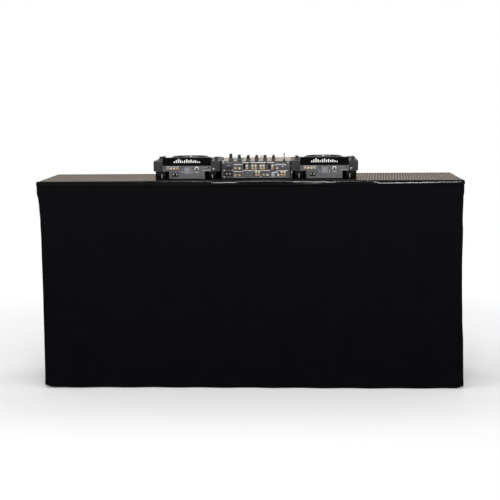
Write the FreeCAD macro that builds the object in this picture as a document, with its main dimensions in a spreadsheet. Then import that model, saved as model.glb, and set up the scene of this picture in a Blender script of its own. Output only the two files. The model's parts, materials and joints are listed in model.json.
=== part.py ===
import FreeCAD, Part
import Sketcher
import os
import re
from collections import defaultdict

# A DJ booth: a table on four plug-in legs with a cloth skirt on three sides, and two media players and a
# mixer standing on it. Millimetres, Z up, origin on the floor under the middle of the table. The audience
# is at -Y, where the skirt hangs and the rear panels of the gear face. The DJ stands at +Y.

SIZES = {
    # Table top and its edge strip
    "table_width": 2000,
    "table_depth": 600,
    "table_height": 980,
    "board_thickness": 18,
    "edge_wall": 4,
    "edge_lip": 5,
    "edge_lip_thickness": 1.2,
    "edge_corner": 10,
    "edge_round": 5,
    "edge_clearance": 0.3,
    # Frame under the board
    "frame_overhang": 8,
    "rail_height": 40,
    "rail_width": 25,
    "rail_wall": 2,
    "cross_spacing": 660,
    # Leg sockets, legs, clamp screws and end caps
    "socket_plate_side": 110,
    "socket_plate_thickness": 6,
    "socket_wall": 4,
    "socket_length": 110,
    "leg_radius": 25,
    "leg_wall": 2.5,
    "leg_clearance": 0.3,
    "clamp_radius": 5,
    "clamp_clearance": 0.2,
    "clamp_boss_radius": 10,
    "clamp_boss_length": 12,
    "clamp_neck": 6,
    "clamp_knob_radius": 20,
    "clamp_knob_height": 18,
    "clamp_knob_bevel": 3,
    "clamp_notch_radius": 5,
    "cap_base": 8,
    "cap_height": 34,
    "cap_wall": 4,
    "cap_flare": 2.5,
    # Skirt and its hook tape
    "tape_height": 30,
    "tape_thickness": 2,
    "tape_drop": 5,
    "skirt_thickness": 3,
    "skirt_gap": 0.8,
    "hem_gap": 3,
    "fold_depth": 5,
    "skirt_flat_end": 60,
    # Where the gear stands
    "gear_offset": 27,
    "gear_setback": 150,
    "left_spacing": 329,
    "right_spacing": 325,
    # Player cases
    "player_width": 320,
    "player_depth": 380,
    "player_foot_height": 40,
    "player_case_height": 48,
    "player_wall": 3,
    "player_corner": 8,
    "player_edge_round": 2.5,
    "case_gap": 0.3,
    "player_floor": 3,
    "tub_width": 170,
    "tub_clearance": 5,
    "tub_wall": 2.5,
    "tub_front_inset": 8,
    "usb_width": 14,
    "usb_depth": 30,
    "usb_rise": 18,
    "usb_reach": 137,
    "usb_back": 62,
    # Player feet
    "foot_radius": 34.5,
    "foot_spread": 241,
    "foot_rear_inset": 45,
    "foot_front_inset": 50,
    "foot_bevel": 2,
    "foot_groove": 1.5,
    "foot_groove_height": 4,
    "foot_groove_rise": 26,
    # Rear panels
    "panel_thickness": 1.5,
    "panel_recess": 0.5,
    "panel_strip_width": 230,
    "panel_strip_height": 26,
    # Display hood and screen
    "hood_depth": 115,
    "hood_rear_height": 38,
    "hood_front_height": 23.5,
    "hood_nose": 4,
    "hood_wall": 2.5,
    "hood_roof": 4,
    "screen_width": 150,
    "screen_length": 72,
    "screen_thickness": 2,
    "screen_start": 18,
    # Jog wheel and hub
    "jog_radius": 103,
    "jog_back": 240,
    "jog_height": 12.8,
    "jog_side": 3,
    "jog_slope": 21,
    "jog_gap": 0.4,
    "jog_rim": 9,
    "jog_drop": 1.6,
    "jog_skin": 3,
    "jog_bevel": 1.5,
    "dimple_radius": 3,
    "dimple_depth": 1.2,
    "hub_radius": 45,
    "hub_clearance": 0.3,
    "hub_wall": 3,
    "hub_opening": 52,
    # Faders
    "tempo_reach": 132,
    "tempo_back": 265,
    "tempo_travel": 100,
    "channel_back": 240,
    "channel_travel": 60,
    "cross_back": 345,
    "cross_travel": 45,
    "fader_cap_width": 12,
    "fader_cap_length": 22,
    "fader_cap_height": 12,
    "fader_gap": 0.5,
    "stem_length": 7,
    "stem_thickness": 2.4,
    "stem_clearance": 0.5,
    "stem_depth": 8,
    "track_width": 15,
    "track_depth": 12,
    "track_margin": 15,
    # Buttons
    "button_radius": 15,
    "button_reach": 132,
    "play_back": 345,
    "cue_back": 302,
    "button_rise": 4,
    "button_lip": 2.5,
    "button_flange": 2,
    "button_seat": 0.1,
    "button_clearance": 0.4,
    "button_bevel": 1,
    # Keys on their mats
    "key_length": 24,
    "key_width": 14,
    "key_rise": 2,
    "key_clearance": 0.4,
    "mat_thickness": 1.5,
    "mat_margin": 3,
    "side_key_back": 182,
    "side_key_pitch": 28,
    "loop_key_reach": 77,
    "loop_key_back": 128,
    "loop_key_pitch": 30,
    "cue_key_back": 165,
    "effect_key_back": 140,
    "effect_key_pitch": 30,
    # Knobs and the pots under them
    "knob_radius": 7.5,
    "knob_height": 23,
    "master_radius": 9,
    "master_height": 29,
    "booth_height": 34,
    "browse_radius": 11,
    "browse_height": 18,
    "browse_reach": 130,
    "browse_back": 85,
    "knob_taper": 1,
    "knob_bevel": 0.8,
    "knob_gap": 0.5,
    "pointer_width": 1.4,
    "pointer_depth": 0.8,
    "shaft_radius": 3,
    "shaft_clearance": 0.08,
    "hole_clearance": 0.6,
    "pot_side": 14,
    "pot_depth": 10,
    "pot_bore": 8,
    # Mixer
    "mixer_width": 328,
    "mixer_depth": 380,
    "mixer_foot_height": 6,
    "mixer_foot_radius": 12,
    "mixer_foot_inset": 35,
    "mixer_foot_bevel": 1,
    "mixer_case_height": 78,
    "mixer_wall": 3,
    "mixer_plate": 2.5,
    "mixer_corner": 3,
    "column_start": 82,
    "column_pitch": 40.6,
    "row_back": 40,
    "row_pitch": 45,
    # Microphone switch
    "switch_reach": 134,
    "lever_root": 1.4,
    "lever_tip": 2.8,
    "lever_drop": 3.5,
    "lever_length": 37,
    "ball_radius": 2.9,
    "ball_clearance": 0.3,
    "bushing_radius": 5.2,
    "bushing_height": 6,
    # Parts inside the cases
    "standoff_radius": 4,
    "standoff_height": 4,
    "standoff_inset": 8,
    "circuit_thickness": 1.6,
    "circuit_width": 280,
    "circuit_depth": 200,
    "mixer_circuit_width": 200,
    "mixer_circuit_depth": 300,
    "mixer_circuit_shift": 50,
    "supply_width": 110,
    "supply_depth": 90,
    "supply_height": 26,
    "supply_rear": 40,
    "mixer_supply_width": 70,
    "mixer_supply_shift": 112,
    "drive_width": 150,
    "drive_depth": 190,
    "drive_height": 30,
    "slot_width": 126,
    "slot_height": 6,
    "slot_rise": 16,
    "slot_reach": 140,
    # Sockets and screws on the rear panels
    "fit_clearance": 0.1,
    "phono_radius": 4.15,
    "phono_bore": 1.6,
    "phono_length": 9,
    "phono_flange_radius": 6,
    "phono_flange": 1,
    "phono_tail_radius": 3.5,
    "phono_tail": 8,
    "inlet_flange_width": 46,
    "inlet_flange_height": 24,
    "inlet_flange": 2,
    "inlet_width": 30,
    "inlet_height": 22,
    "inlet_depth": 21,
    "inlet_wall": 2.5,
    "inlet_pin_spread": 14,
    "inlet_pin_offset": 4,
    "inlet_pin_thickness": 2,
    "inlet_pin_height": 4,
    "inlet_pin_length": 12,
    "inlet_rise": 18,
    "xlr_flange_width": 24,
    "xlr_flange_height": 28,
    "xlr_flange": 1.5,
    "xlr_radius": 11,
    "xlr_wall": 1.5,
    "xlr_depth": 16,
    "xlr_pin_radius": 1.2,
    "xlr_pin_circle": 5,
    "xlr_pin_length": 8,
    "screw_radius": 1.5,
    "screw_length": 5,
    "screw_head_radius": 3,
    "screw_head": 1.8,
    # All cuts pass the face that they open by this much
    "overrun": 5,
}

SIGNS = (-1, 1)
FRONT_FOLDS = 16
SIDE_FOLDS = 6
CLAMP_NOTCHES = 6
JOG_DIMPLES = 40
SIDE_KEYS = 5
LOOP_KEYS = 2
EFFECT_KEYS = 4
CHANNELS = 4

# Side view of a fader cap, from its middle, in shares of its length and height
CAP_SHARES = ((-0.5, 0), (0.5, 0), (0.5, 0.35), (0.36, 1), (0.16, 1), (0, 0.72), (-0.16, 1), (-0.36, 1),
              (-0.5, 0.35))

# Sockets and screws on a player's rear strip: across in shares of the player's width from its middle, and up
# in shares of the strip's height
PLAYER_PHONO_SHARES = ((-0.284, 0.5), (-0.237, 0.5), (-0.19, 0.5), (-0.143, 0.5))
PLAYER_SCREW_SHARES = ((-0.334, 0.7), (-0.069, 0.7), (0.322, 0.7))
PLAYER_INLET_SHARE = -0.178

# The same on the mixer's rear panel, in shares of its width and of its case's height
MIXER_PHONO_SHARES = (
    [(across, up) for across in (-0.297, -0.239) for up in (0.58, 0.14)]
    + [(across, up) for across in (-0.132, -0.052, -0.006, 0.070, 0.112, 0.238) for up in (0.75, 0.57)]
    + [(across, up) for across in (0.002, 0.045, 0.371, 0.414) for up in (0.34, 0.16)]
    + [(0.307, 0.58), (0.109, 0.16), (0.166, 0.16), (0.321, 0.16)]
)
MIXER_XLR_SHARES = ((-0.153, 0.23), (-0.076, 0.23))
MIXER_SCREW_SHARES = ((-0.475, 0.95), (0.465, 0.95), (-0.461, 0.455), (-0.342, 0.455), (-0.461, 0.045),
                      (0.068, 0.045))
MIXER_INLET_SHARES = (-0.402, 0.25)

# Levels and places that several pieces share
BOARD_UNDER = "(table_height - board_thickness)"
FRAME_X = "(table_width / 2 - frame_overhang)"
FRAME_Y = "(table_depth / 2 - frame_overhang)"
LEG_X = f"({FRAME_X} - rail_width - socket_plate_side / 2)"
LEG_Y = f"({FRAME_Y} - rail_width - socket_plate_side / 2)"
PLATE_UNDER = f"({BOARD_UNDER} - socket_plate_thickness)"
SKIRT_X = f"({FRAME_X} + tape_thickness)"
SKIRT_Y = f"({FRAME_Y} + tape_thickness)"
GEAR_REAR = "(gear_setback - table_depth / 2)"
PANEL_FACE = f"({GEAR_REAR} + panel_recess)"
PLAYER_BASE = "(table_height + player_foot_height)"
PLAYER_TOP = f"({PLAYER_BASE} + player_case_height)"
PLAYER_CIRCUIT = f"({PLAYER_BASE} + player_floor + standoff_height)"
TUB_BASE = "(table_height + tub_clearance)"
TUB_REAR = "(panel_recess + panel_thickness)"
TUB_FRONT = "(player_depth - tub_front_inset)"
HOOD_BASE = f"({PLAYER_BASE} + panel_strip_height)"
HOOD_SLOPE = "atan((hood_rear_height - hood_front_height) / (hood_depth - hood_nose))"
JOG_DECK = "(jog_height - jog_drop)"
MIXER_BASE = "(table_height + mixer_foot_height)"
MIXER_UNDER = f"({MIXER_BASE} + mixer_case_height)"
MIXER_TOP = f"({MIXER_UNDER} + mixer_plate)"
PLAYERS = {"left": "(gear_offset - left_spacing)", "right": "(gear_offset + right_spacing)"}

X_AXIS = FreeCAD.Vector(1, 0, 0)
Z_AXIS = FreeCAD.Vector(0, 0, 1)
# Turns that point a piece's own Z axis along the named way
TURNS = {
    "up": FreeCAD.Rotation(),
    "back": FreeCAD.Rotation(X_AXIS, -90),
    "front": FreeCAD.Rotation(X_AXIS, 90),
}

doc = FreeCAD.newDocument("dj_booth")
sheet = doc.addObject("Spreadsheet::Sheet", "Sizes")
for row, (alias, number) in enumerate(SIZES.items(), start=1):
    sheet.set(f"A{row}", alias)
    sheet.set(f"B{row}", str(number))
    sheet.setAlias(f"B{row}", alias)
doc.recompute()

NODES = {}
GROUPS = defaultdict(list)


def cells(text):
    """An expression in plain size names, with each name pointing at its cell."""
    return re.sub(r"[a-z_]+", lambda word: f"Sizes.{word[0]}" if word[0] in SIZES else word[0], text)


def value(text):
    """What such an expression comes to now, in millimetres."""
    return float(sheet.evalExpression(cells(text)))


def place(thing, at, turn="up"):
    thing.Placement = FreeCAD.Placement(FreeCAD.Vector(), TURNS[turn])
    for axis, text in zip("xyz", at):
        thing.setExpression(f"Placement.Base.{axis}", cells(text))


def node(label, thing):
    """Keeps a finished sub-part under the name of its file."""
    thing.Label = label
    NODES[label] = thing


def box(name, size, at):
    """A box with its low corner at a place."""
    thing = doc.addObject("Part::Box", name)
    for side, text in zip(("Length", "Width", "Height"), size):
        thing.setExpression(side, cells(text))
    place(thing, at)
    return thing


def block(name, size, at):
    """A box with the middle of its base at a place."""
    return box(name, size, (f"{at[0]} - ({size[0]}) / 2", f"{at[1]} - ({size[1]}) / 2", at[2]))


def rod(name, radius, length, at, turn="up"):
    thing = doc.addObject("Part::Cylinder", name)
    thing.setExpression("Radius", cells(radius))
    thing.setExpression("Height", cells(length))
    place(thing, at, turn)
    return thing


def fuse(name, *pieces):
    thing = doc.addObject("Part::MultiFuse", name)
    thing.Shapes = list(pieces)
    thing.Refine = True
    return thing


def cut(name, base, *tools):
    thing = doc.addObject("Part::Cut", name)
    thing.Base = base
    thing.Tool = tools[0] if len(tools) == 1 else fuse(f"{name}_tools", *tools)
    return thing


def group(name, pieces):
    thing = doc.addObject("Part::Compound", name)
    thing.Links = list(pieces)
    return thing


def copy(master, at, turn="up"):
    """A copy of a piece that is drawn once at the origin."""
    link = doc.addObject("App::Link", f"{master.Name}_copy")
    link.LinkedObject = master
    place(link, at, turn)
    return link


def sketch_on(holder, role):
    sketch = holder.newObject("Sketcher::SketchObject", f"{holder.Name}_sketch")
    plane = next(feature for feature in holder.Origin.OriginFeatures if feature.Role == role)
    sketch.AttachmentSupport = [(plane, "")]
    sketch.MapMode = "FlatFace"
    return sketch


def dimension(sketch, kind, line, text):
    """Holds the start of a line, or the middle of a circle, at a bound distance from the origin."""
    spot = 3 if sketch.Geometry[line].TypeId == "Part::GeomCircle" else 1
    row = sketch.addConstraint(Sketcher.Constraint(kind, -1, 1, line, spot, value(text)))
    sketch.setExpression(f"Constraints[{row}]", cells(text))


def outline(sketch, points):
    """Closes straight lines through points, each a pair of expressions: across and up."""
    spots = [FreeCAD.Vector(value(across), value(up), 0) for across, up in points]
    ends = spots[1:] + spots[:1]
    lines = [sketch.addGeometry(Part.LineSegment(*pair), False) for pair in zip(spots, ends)]
    for line, following in zip(lines, lines[1:] + lines[:1]):
        sketch.addConstraint(Sketcher.Constraint("Coincident", line, 2, following, 1))
    for line, (across, up) in zip(lines, points):
        dimension(sketch, "DistanceX", line, across)
        dimension(sketch, "DistanceY", line, up)


def turned(name, points):
    """A piece turned about its own Z axis from half of its side view."""
    holder = doc.addObject("PartDesign::Body", name)
    sketch = sketch_on(holder, "XZ_Plane")
    outline(sketch, points)
    turning = holder.newObject("PartDesign::Revolution", f"{name}_turning")
    turning.Profile = sketch
    turning.ReferenceAxis = (sketch, ["V_Axis"])
    return holder


def prism(name, role, points, length):
    """A piece of one section, drawn on an origin plane and padded square to it."""
    holder = doc.addObject("PartDesign::Body", name)
    sketch = sketch_on(holder, role)
    outline(sketch, points)
    pad = holder.newObject("PartDesign::Pad", f"{name}_pad")
    pad.Profile = sketch
    pad.setExpression("Length", cells(length))
    return holder


def is_upright(edge, shape):
    return abs(edge.tangentAt(edge.FirstParameter).z) > 0.99


def is_topmost(edge, shape):
    return edge.BoundBox.ZMin > shape.BoundBox.ZMax - edge.Length * 1e-6


def is_level(edge, shape):
    return edge.BoundBox.ZLength < edge.Length * 1e-6


def round_off(holder, wanted, radius):
    """Rounds the edges of a body that are wanted."""
    doc.recompute()
    base = holder.Tip
    edges = enumerate(base.Shape.Edges, start=1)
    names = [f"Edge{number}" for number, edge in edges if wanted(edge, base.Shape)]
    rounding = holder.newObject("PartDesign::Fillet", f"{holder.Name}_rounding")
    rounding.Base = (base, names)
    rounding.setExpression("Radius", cells(radius))


def slab(name, size, at, corner):
    """A block with rounded upright corners, with the middle of its base at a place."""
    wide, deep, high = size
    holder = prism(name, "XY_Plane", [("0", "0"), (wide, "0"), (wide, deep), ("0", deep)], high)
    round_off(holder, is_upright, corner)
    place(holder, (f"{at[0]} - ({wide}) / 2", f"{at[1]} - ({deep}) / 2", at[2]))
    return holder


def scallop(holder, radius, reach, top, depth, count):
    """Sinks a ring of round hollows into a turned piece from the level of its top."""
    doc.recompute()
    before = holder.Shape.Volume
    sketch = sketch_on(holder, "XY_Plane")
    sketch.setExpression("AttachmentOffset.Base.z", cells(top))
    centre = FreeCAD.Vector(value(reach), 0, 0)
    circle = sketch.addGeometry(Part.Circle(centre, Z_AXIS, value(radius)), False)
    row = sketch.addConstraint(Sketcher.Constraint("Radius", circle, value(radius)))
    sketch.setExpression(f"Constraints[{row}]", cells(radius))
    dimension(sketch, "DistanceX", circle, reach)
    dimension(sketch, "DistanceY", circle, "0")
    pocket = holder.newObject("PartDesign::Pocket", f"{holder.Name}_hollow")
    pocket.Profile = sketch
    pocket.setExpression("Length", cells(depth))
    doc.recompute()
    ring = holder.newObject("PartDesign::PolarPattern", f"{holder.Name}_ring")
    ring.Originals = [pocket]
    ring.Axis = (sketch, ["N_Axis"])
    ring.Angle = 360
    ring.Occurrences = count
    holder.Tip = ring
    doc.recompute()
    if not holder.Shape.Volume < before:
        raise RuntimeError(f"{holder.Name}: the hollows cut nothing")


def table_top():
    board_size = ("table_width - 2 * edge_wall", "table_depth - 2 * edge_wall", "board_thickness")
    board = slab("table_board", board_size, ("0", "0", BOARD_UNDER), "edge_corner - edge_wall")
    rim_height = "(board_thickness + 2 * edge_lip_thickness)"
    rim_base = f"({BOARD_UNDER} - edge_lip_thickness)"
    rim = slab("edge_rim", ("table_width", "table_depth", rim_height), ("0", "0", rim_base), "edge_corner")
    round_off(rim, is_level, "edge_round")
    upper_size = ("table_width - 2 * (edge_wall + edge_lip)", "table_depth - 2 * (edge_wall + edge_lip)",
                  "board_thickness / 2 + edge_lip_thickness + overrun")
    lower_size = (f"2 * ({FRAME_X} + edge_clearance)", f"2 * ({FRAME_Y} + edge_clearance)", upper_size[2])
    half_way = f"({BOARD_UNDER} + board_thickness / 2)"
    upper = block("upper_window", upper_size, ("0", "0", half_way))
    lower = block("lower_window", lower_size, ("0", "0", f"{half_way} - ({lower_size[2]})"))
    node("table_board", board)
    node("edge_strip", cut("edge_strip", rim, board, upper, lower))


def rail(name, length, along, at):
    """A box-section rail along X or Y, hollow from end to end."""
    def lie(run, across, up):
        return (run, across, up) if along == "x" else (across, run, up)

    outer = block(f"{name}_outer", lie(length, "rail_width", "rail_height"), at)
    bore_size = lie(f"{length} + 2 * overrun", "rail_width - 2 * rail_wall", "rail_height - 2 * rail_wall")
    bore = block(f"{name}_bore", bore_size, (at[0], at[1], f"{at[2]} + rail_wall"))
    return cut(name, outer, bore)


def table_frame():
    base = f"{BOARD_UNDER} - rail_height"
    span = f"2 * ({FRAME_Y} - rail_width)"
    for sign in SIGNS:
        long_y = f"{sign} * ({FRAME_Y} - rail_width / 2)"
        end_x = f"{sign} * ({FRAME_X} - rail_width / 2)"
        GROUPS["table_frame"] += [
            rail("long_rail", f"2 * {FRAME_X}", "x", ("0", long_y, base)),
            rail("end_rail", span, "y", (end_x, "0", base)),
            rail("cross_member", span, "y", (f"{sign} * cross_spacing / 2", "0", base)),
        ]


def clamp_screw():
    """A screw with a notched hand knob, drawn along Z with its tip at the origin."""
    neck = "(leg_clearance + socket_wall + clamp_boss_length + clamp_neck - clamp_clearance)"
    top = f"({neck} + clamp_knob_height)"
    screw = turned("clamp_screw", [
        ("0", "0"), ("clamp_radius", "0"), ("clamp_radius", neck), ("clamp_knob_radius", neck),
        ("clamp_knob_radius", f"{top} - clamp_knob_bevel"), ("clamp_knob_radius - clamp_knob_bevel", top),
        ("0", top)])
    scallop(screw, "clamp_notch_radius", "clamp_knob_radius", top, "clamp_knob_height", CLAMP_NOTCHES)
    return screw


def leg_end_cap():
    wall = "(leg_radius + leg_clearance + cap_wall)"
    bore = "(leg_radius + leg_clearance)"
    return turned("leg_end_cap", [
        ("0", "0"), (f"{wall} + cap_flare", "0"), (f"{wall} + cap_flare", "cap_base"), (wall, "cap_height"),
        (bore, "cap_height"), (bore, "cap_base"), ("0", "cap_base")])


def leg_socket(x, y, turn):
    """A corner plate with a tube that takes the leg, and a boss on its inner side for the clamp screw."""
    wall = "(leg_radius + leg_clearance + socket_wall)"
    foot = f"({PLATE_UNDER} - socket_length)"
    screw_level = f"({PLATE_UNDER} - socket_length / 2)"
    plate_size = ("socket_plate_side", "socket_plate_side", "socket_plate_thickness")
    body = fuse(
        "socket_body",
        block("socket_plate", plate_size, (x, y, PLATE_UNDER)),
        rod("socket_tube", wall, "socket_length", (x, y, foot)),
        rod("socket_boss", "clamp_boss_radius", f"{wall} + clamp_boss_length", (x, y, screw_level), turn))
    bore = rod("socket_bore", "leg_radius + leg_clearance", "socket_length + overrun",
               (x, y, f"{foot} - overrun"))
    hole = rod("socket_hole", "clamp_radius + clamp_clearance", f"{wall} + clamp_boss_length + overrun",
               (x, y, screw_level), turn)
    return cut("leg_socket", body, bore, hole)


def legs():
    screw = clamp_screw()
    cap = leg_end_cap()
    length = f"{PLATE_UNDER} - cap_base"
    screw_level = f"{PLATE_UNDER} - socket_length / 2"
    for side in SIGNS:
        for end in SIGNS:
            x = f"{side} * {LEG_X}"
            y = f"{end} * {LEG_Y}"
            inward = "back" if end < 0 else "front"
            tip = f"{end} * ({LEG_Y} - leg_radius - clamp_clearance)"
            tube = rod("leg_tube", "leg_radius", length, (x, y, "cap_base"))
            bore = rod("leg_bore", "leg_radius - leg_wall", f"{length} + 2 * overrun",
                       (x, y, "cap_base - overrun"))
            GROUPS["leg_sockets"].append(leg_socket(x, y, inward))
            GROUPS["table_legs"].append(cut("table_leg", tube, bore))
            GROUPS["leg_end_caps"].append(copy(cap, (x, y, "0")))
            GROUPS["leg_clamp_screws"].append(copy(screw, (x, tip, screw_level), inward))


def hook_tape():
    base = f"{BOARD_UNDER} - tape_drop - tape_height"
    front_size = (f"2 * {FRAME_X}", "tape_thickness", "tape_height")
    side_size = ("tape_thickness", f"2 * {FRAME_Y}", "tape_height")
    front_tape = block("front_tape", front_size, ("0", f"tape_thickness / 2 - {SKIRT_Y}", base))
    GROUPS["skirt_hook_tape"].append(front_tape)
    for sign in SIGNS:
        x = f"{sign} * ({SKIRT_X} - tape_thickness / 2)"
        GROUPS["skirt_hook_tape"].append(block("side_tape", side_size, (x, "0", base)))


def cloth_edge(length, folds, depth, level):
    """The outline of a hanging panel at one level: flat ends, and arcs that curve out and in by turns."""
    flat = value("skirt_flat_end")
    pitch = (length - 2 * flat) / folds
    stops = [0] + [flat + pitch * number for number in range(folds + 1)] + [length]
    bulges = [0] + [depth * (-1) ** number for number in range(folds)] + [0]

    def run(back):
        edges = []
        for start, stop, bulge in zip(stops, stops[1:], bulges):
            first = FreeCAD.Vector(start, back, level)
            last = FreeCAD.Vector(stop, back, level)
            middle = FreeCAD.Vector((start + stop) / 2, back + bulge, level)
            curve = Part.Arc(first, middle, last) if bulge else Part.LineSegment(first, last)
            edges.append(curve.toShape())
        return edges

    thickness = value("skirt_thickness")
    outer = run(0)
    inner = run(thickness)
    ends = [Part.makeLine(FreeCAD.Vector(stop, 0, level), FreeCAD.Vector(stop, thickness, level))
            for stop in (length, 0)]
    return Part.Wire(Part.__sortEdges__(outer + inner + ends))


def skirt_panel(name, length, folds, angle, at):
    """A cloth panel, straight where it sticks to the tape and waved along its hem."""
    panel = doc.addObject("Part::Feature", name)
    top = cloth_edge(length, folds, 0, value(f"{BOARD_UNDER} - edge_lip_thickness - skirt_gap"))
    grip = cloth_edge(length, folds, 0, value(f"{BOARD_UNDER} - tape_drop - tape_height"))
    hem = cloth_edge(length, folds, value("fold_depth"), value("hem_gap"))
    panel.Shape = Part.makeLoft([hem, grip, top], True, True)
    spot = FreeCAD.Vector(*[value(text) for text in at])
    panel.Placement = FreeCAD.Placement(spot, FreeCAD.Rotation(Z_AXIS, angle))
    GROUPS["skirt_panels"].append(panel)


def skirt():
    outer_x = f"({SKIRT_X} + skirt_thickness)"
    side = value(f"{SKIRT_Y} + {FRAME_Y}")
    skirt_panel("skirt_front", value(f"2 * {outer_x}"), FRONT_FOLDS, 0,
                (f"-1 * {outer_x}", f"-1 * ({SKIRT_Y} + skirt_thickness)", "0"))
    skirt_panel("skirt_right", side, SIDE_FOLDS, 90, (outer_x, f"-1 * {SKIRT_Y}", "0"))
    skirt_panel("skirt_left", side, SIDE_FOLDS, -90, (f"-1 * {outer_x}", FRAME_Y, "0"))


def fader(label, at, along, top, plate, travel):
    """A grooved cap on a flat stem, in a track under a plate. Gives the slot that the plate needs."""
    def lie(run, across, up):
        return (run, across, up) if along == "x" else (across, run, up)

    x, y = at
    under = f"({top} - {plate})"
    points = [(f"fader_cap_length * {run}", f"fader_cap_height * {up}") for run, up in CAP_SHARES]
    cap = prism(f"{label}_cap", "XZ_Plane" if along == "x" else "YZ_Plane", points, "fader_cap_width")
    if along == "x":
        place(cap, (x, f"{y} + fader_cap_width / 2", f"{top} + fader_gap"))
    else:
        place(cap, (f"{x} - fader_cap_width / 2", y, f"{top} + fader_gap"))
    stem_size = lie("stem_length", "stem_thickness", f"stem_depth + {plate} + fader_gap")
    stem = block(f"{label}_stem", stem_size, (x, y, f"{under} - stem_depth"))
    slot_size = lie(f"{travel} + stem_length + 2 * stem_clearance", "stem_thickness + 2 * stem_clearance",
                    f"stem_depth + fader_gap + {plate} + overrun")
    slot = block(f"{label}_slot", slot_size, (x, y, f"{under} - stem_depth - fader_gap"))
    track_size = lie(f"{travel} + stem_length + 2 * track_margin", "track_width", "track_depth")
    track = block(f"{label}_track", track_size, (x, y, f"{under} - track_depth"))
    GROUPS["fader_tracks"].append(cut("fader_track", track, slot))
    node(label, fuse(label, cap, stem))
    return slot


def knob(label, at, top, plate, radius, height):
    """A tapered knob whose shaft turns in a pot under a plate. Gives the hole that the plate needs."""
    x, y = at
    under = f"({top} - {plate})"
    root = f"(pot_bore + {plate} + knob_gap)"
    crown = f"({root} + {height})"
    cap = turned(f"{label}_cap", [
        ("0", "0"), ("shaft_radius", "0"), ("shaft_radius", root), (radius, root),
        (f"{radius} - knob_taper", f"{crown} - knob_bevel"), (f"{radius} - knob_taper - knob_bevel", crown),
        ("0", crown)])
    place(cap, (x, y, f"{under} - pot_bore"))
    pointer = block(f"{label}_pointer", ("pointer_width", radius, "pointer_depth + overrun"),
                    (x, f"{y} - {radius} / 2", f"{top} + knob_gap + {height} - pointer_depth"))
    pot = block("pot_body", ("pot_side", "pot_side", "pot_depth"), (x, y, f"{under} - pot_depth"))
    bore = rod("pot_bore", "shaft_radius + shaft_clearance", "pot_bore + knob_gap + overrun",
               (x, y, f"{under} - pot_bore - knob_gap"))
    GROUPS["knob_pots"].append(cut("knob_pot", pot, bore))
    node(label, cut(label, cap, pointer))
    return rod(f"{label}_hole", "shaft_radius + hole_clearance", f"{plate} + 2 * overrun",
               (x, y, f"{under} - overrun"))


def button(label, at, top, plate):
    """A round button held from below by its lip. Gives the hole that the plate needs."""
    x, y = at
    under = f"({top} - {plate})"
    lip = "(button_radius + button_lip)"
    crown = f"(button_flange + button_seat + {plate} + button_rise)"
    cap = turned(label, [
        ("0", "0"), (lip, "0"), (lip, "button_flange"), ("button_radius", "button_flange"),
        ("button_radius", f"{crown} - button_bevel"), ("button_radius - button_bevel", crown), ("0", crown)])
    place(cap, (x, y, f"{under} - button_seat - button_flange"))
    node(label, cap)
    return rod(f"{label}_hole", "button_radius + button_clearance", f"{plate} + 2 * overrun",
               (x, y, f"{under} - overrun"))


def key_mat(at, columns, rows, column_pitch, row_pitch, top, plate):
    """A rubber mat whose keys stand up through a plate. Gives the windows that the plate needs."""
    x, y = at
    under = f"({top} - {plate})"
    sheet_size = (f"({columns} - 1) * {column_pitch} + key_length + 2 * mat_margin",
                  f"({rows} - 1) * {row_pitch} + key_width + 2 * mat_margin", "mat_thickness")
    pieces = [block("mat_sheet", sheet_size, (x, y, f"{under} - mat_thickness"))]
    windows = []
    for column in range(columns):
        for row in range(rows):
            key_x = f"{x} + ({column} - ({columns} - 1) / 2) * {column_pitch}"
            key_y = f"{y} + ({row} - ({rows} - 1) / 2) * {row_pitch}"
            key_size = ("key_length", "key_width", f"{plate} + key_rise")
            window_size = ("key_length + 2 * key_clearance", "key_width + 2 * key_clearance",
                           f"{plate} + 2 * overrun")
            pieces.append(block("mat_key", key_size, (key_x, key_y, under)))
            windows.append(block("key_window", window_size, (key_x, key_y, f"{under} - overrun")))
    GROUPS["key_mats"].append(fuse("key_mat", *pieces))
    return windows


def phono_socket():
    """Drawn along Z, which points out of the panel, with the panel's face at the origin."""
    return turned("phono_socket", [
        ("0", "-1 * phono_tail"), ("phono_tail_radius", "-1 * phono_tail"), ("phono_tail_radius", "0"),
        ("phono_flange_radius", "0"), ("phono_flange_radius", "phono_flange"),
        ("phono_radius", "phono_flange"), ("phono_radius", "phono_length"), ("phono_bore", "phono_length"),
        ("phono_bore", "phono_flange"), ("0", "phono_flange")])


def panel_screw():
    return turned("panel_screw", [
        ("0", "-1 * screw_length"), ("screw_radius", "-1 * screw_length"), ("screw_radius", "0"),
        ("screw_head_radius", "0"), ("screw_head_radius", "screw_head / 2"),
        ("screw_head_radius - screw_head / 2", "screw_head"), ("0", "screw_head")])


def power_inlet():
    """A flanged inlet with a deep recess and three blades."""
    floor = "(inlet_wall - inlet_depth)"
    flange_size = ("inlet_flange_width", "inlet_flange_height", "inlet_flange")
    recess_size = ("inlet_width - 2 * inlet_wall", "inlet_height - 2 * inlet_wall",
                   f"inlet_flange + overrun - {floor}")
    shell = fuse(
        "inlet_shell",
        block("inlet_plate", flange_size, ("0", "0", "0")),
        block("inlet_body", ("inlet_width", "inlet_height", "inlet_depth"), ("0", "0", "-1 * inlet_depth")))
    hollow = cut("inlet_hollow", shell, block("inlet_recess", recess_size, ("0", "0", floor)))
    blade_size = ("inlet_pin_thickness", "inlet_pin_height", "inlet_pin_length")
    places = [("inlet_pin_spread / 2", "0"), ("-1 * inlet_pin_spread / 2", "0"), ("0", "inlet_pin_offset")]
    blades = [block("inlet_blade", blade_size, (x, y, floor)) for x, y in places]
    return fuse("power_inlet", hollow, *blades)


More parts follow.
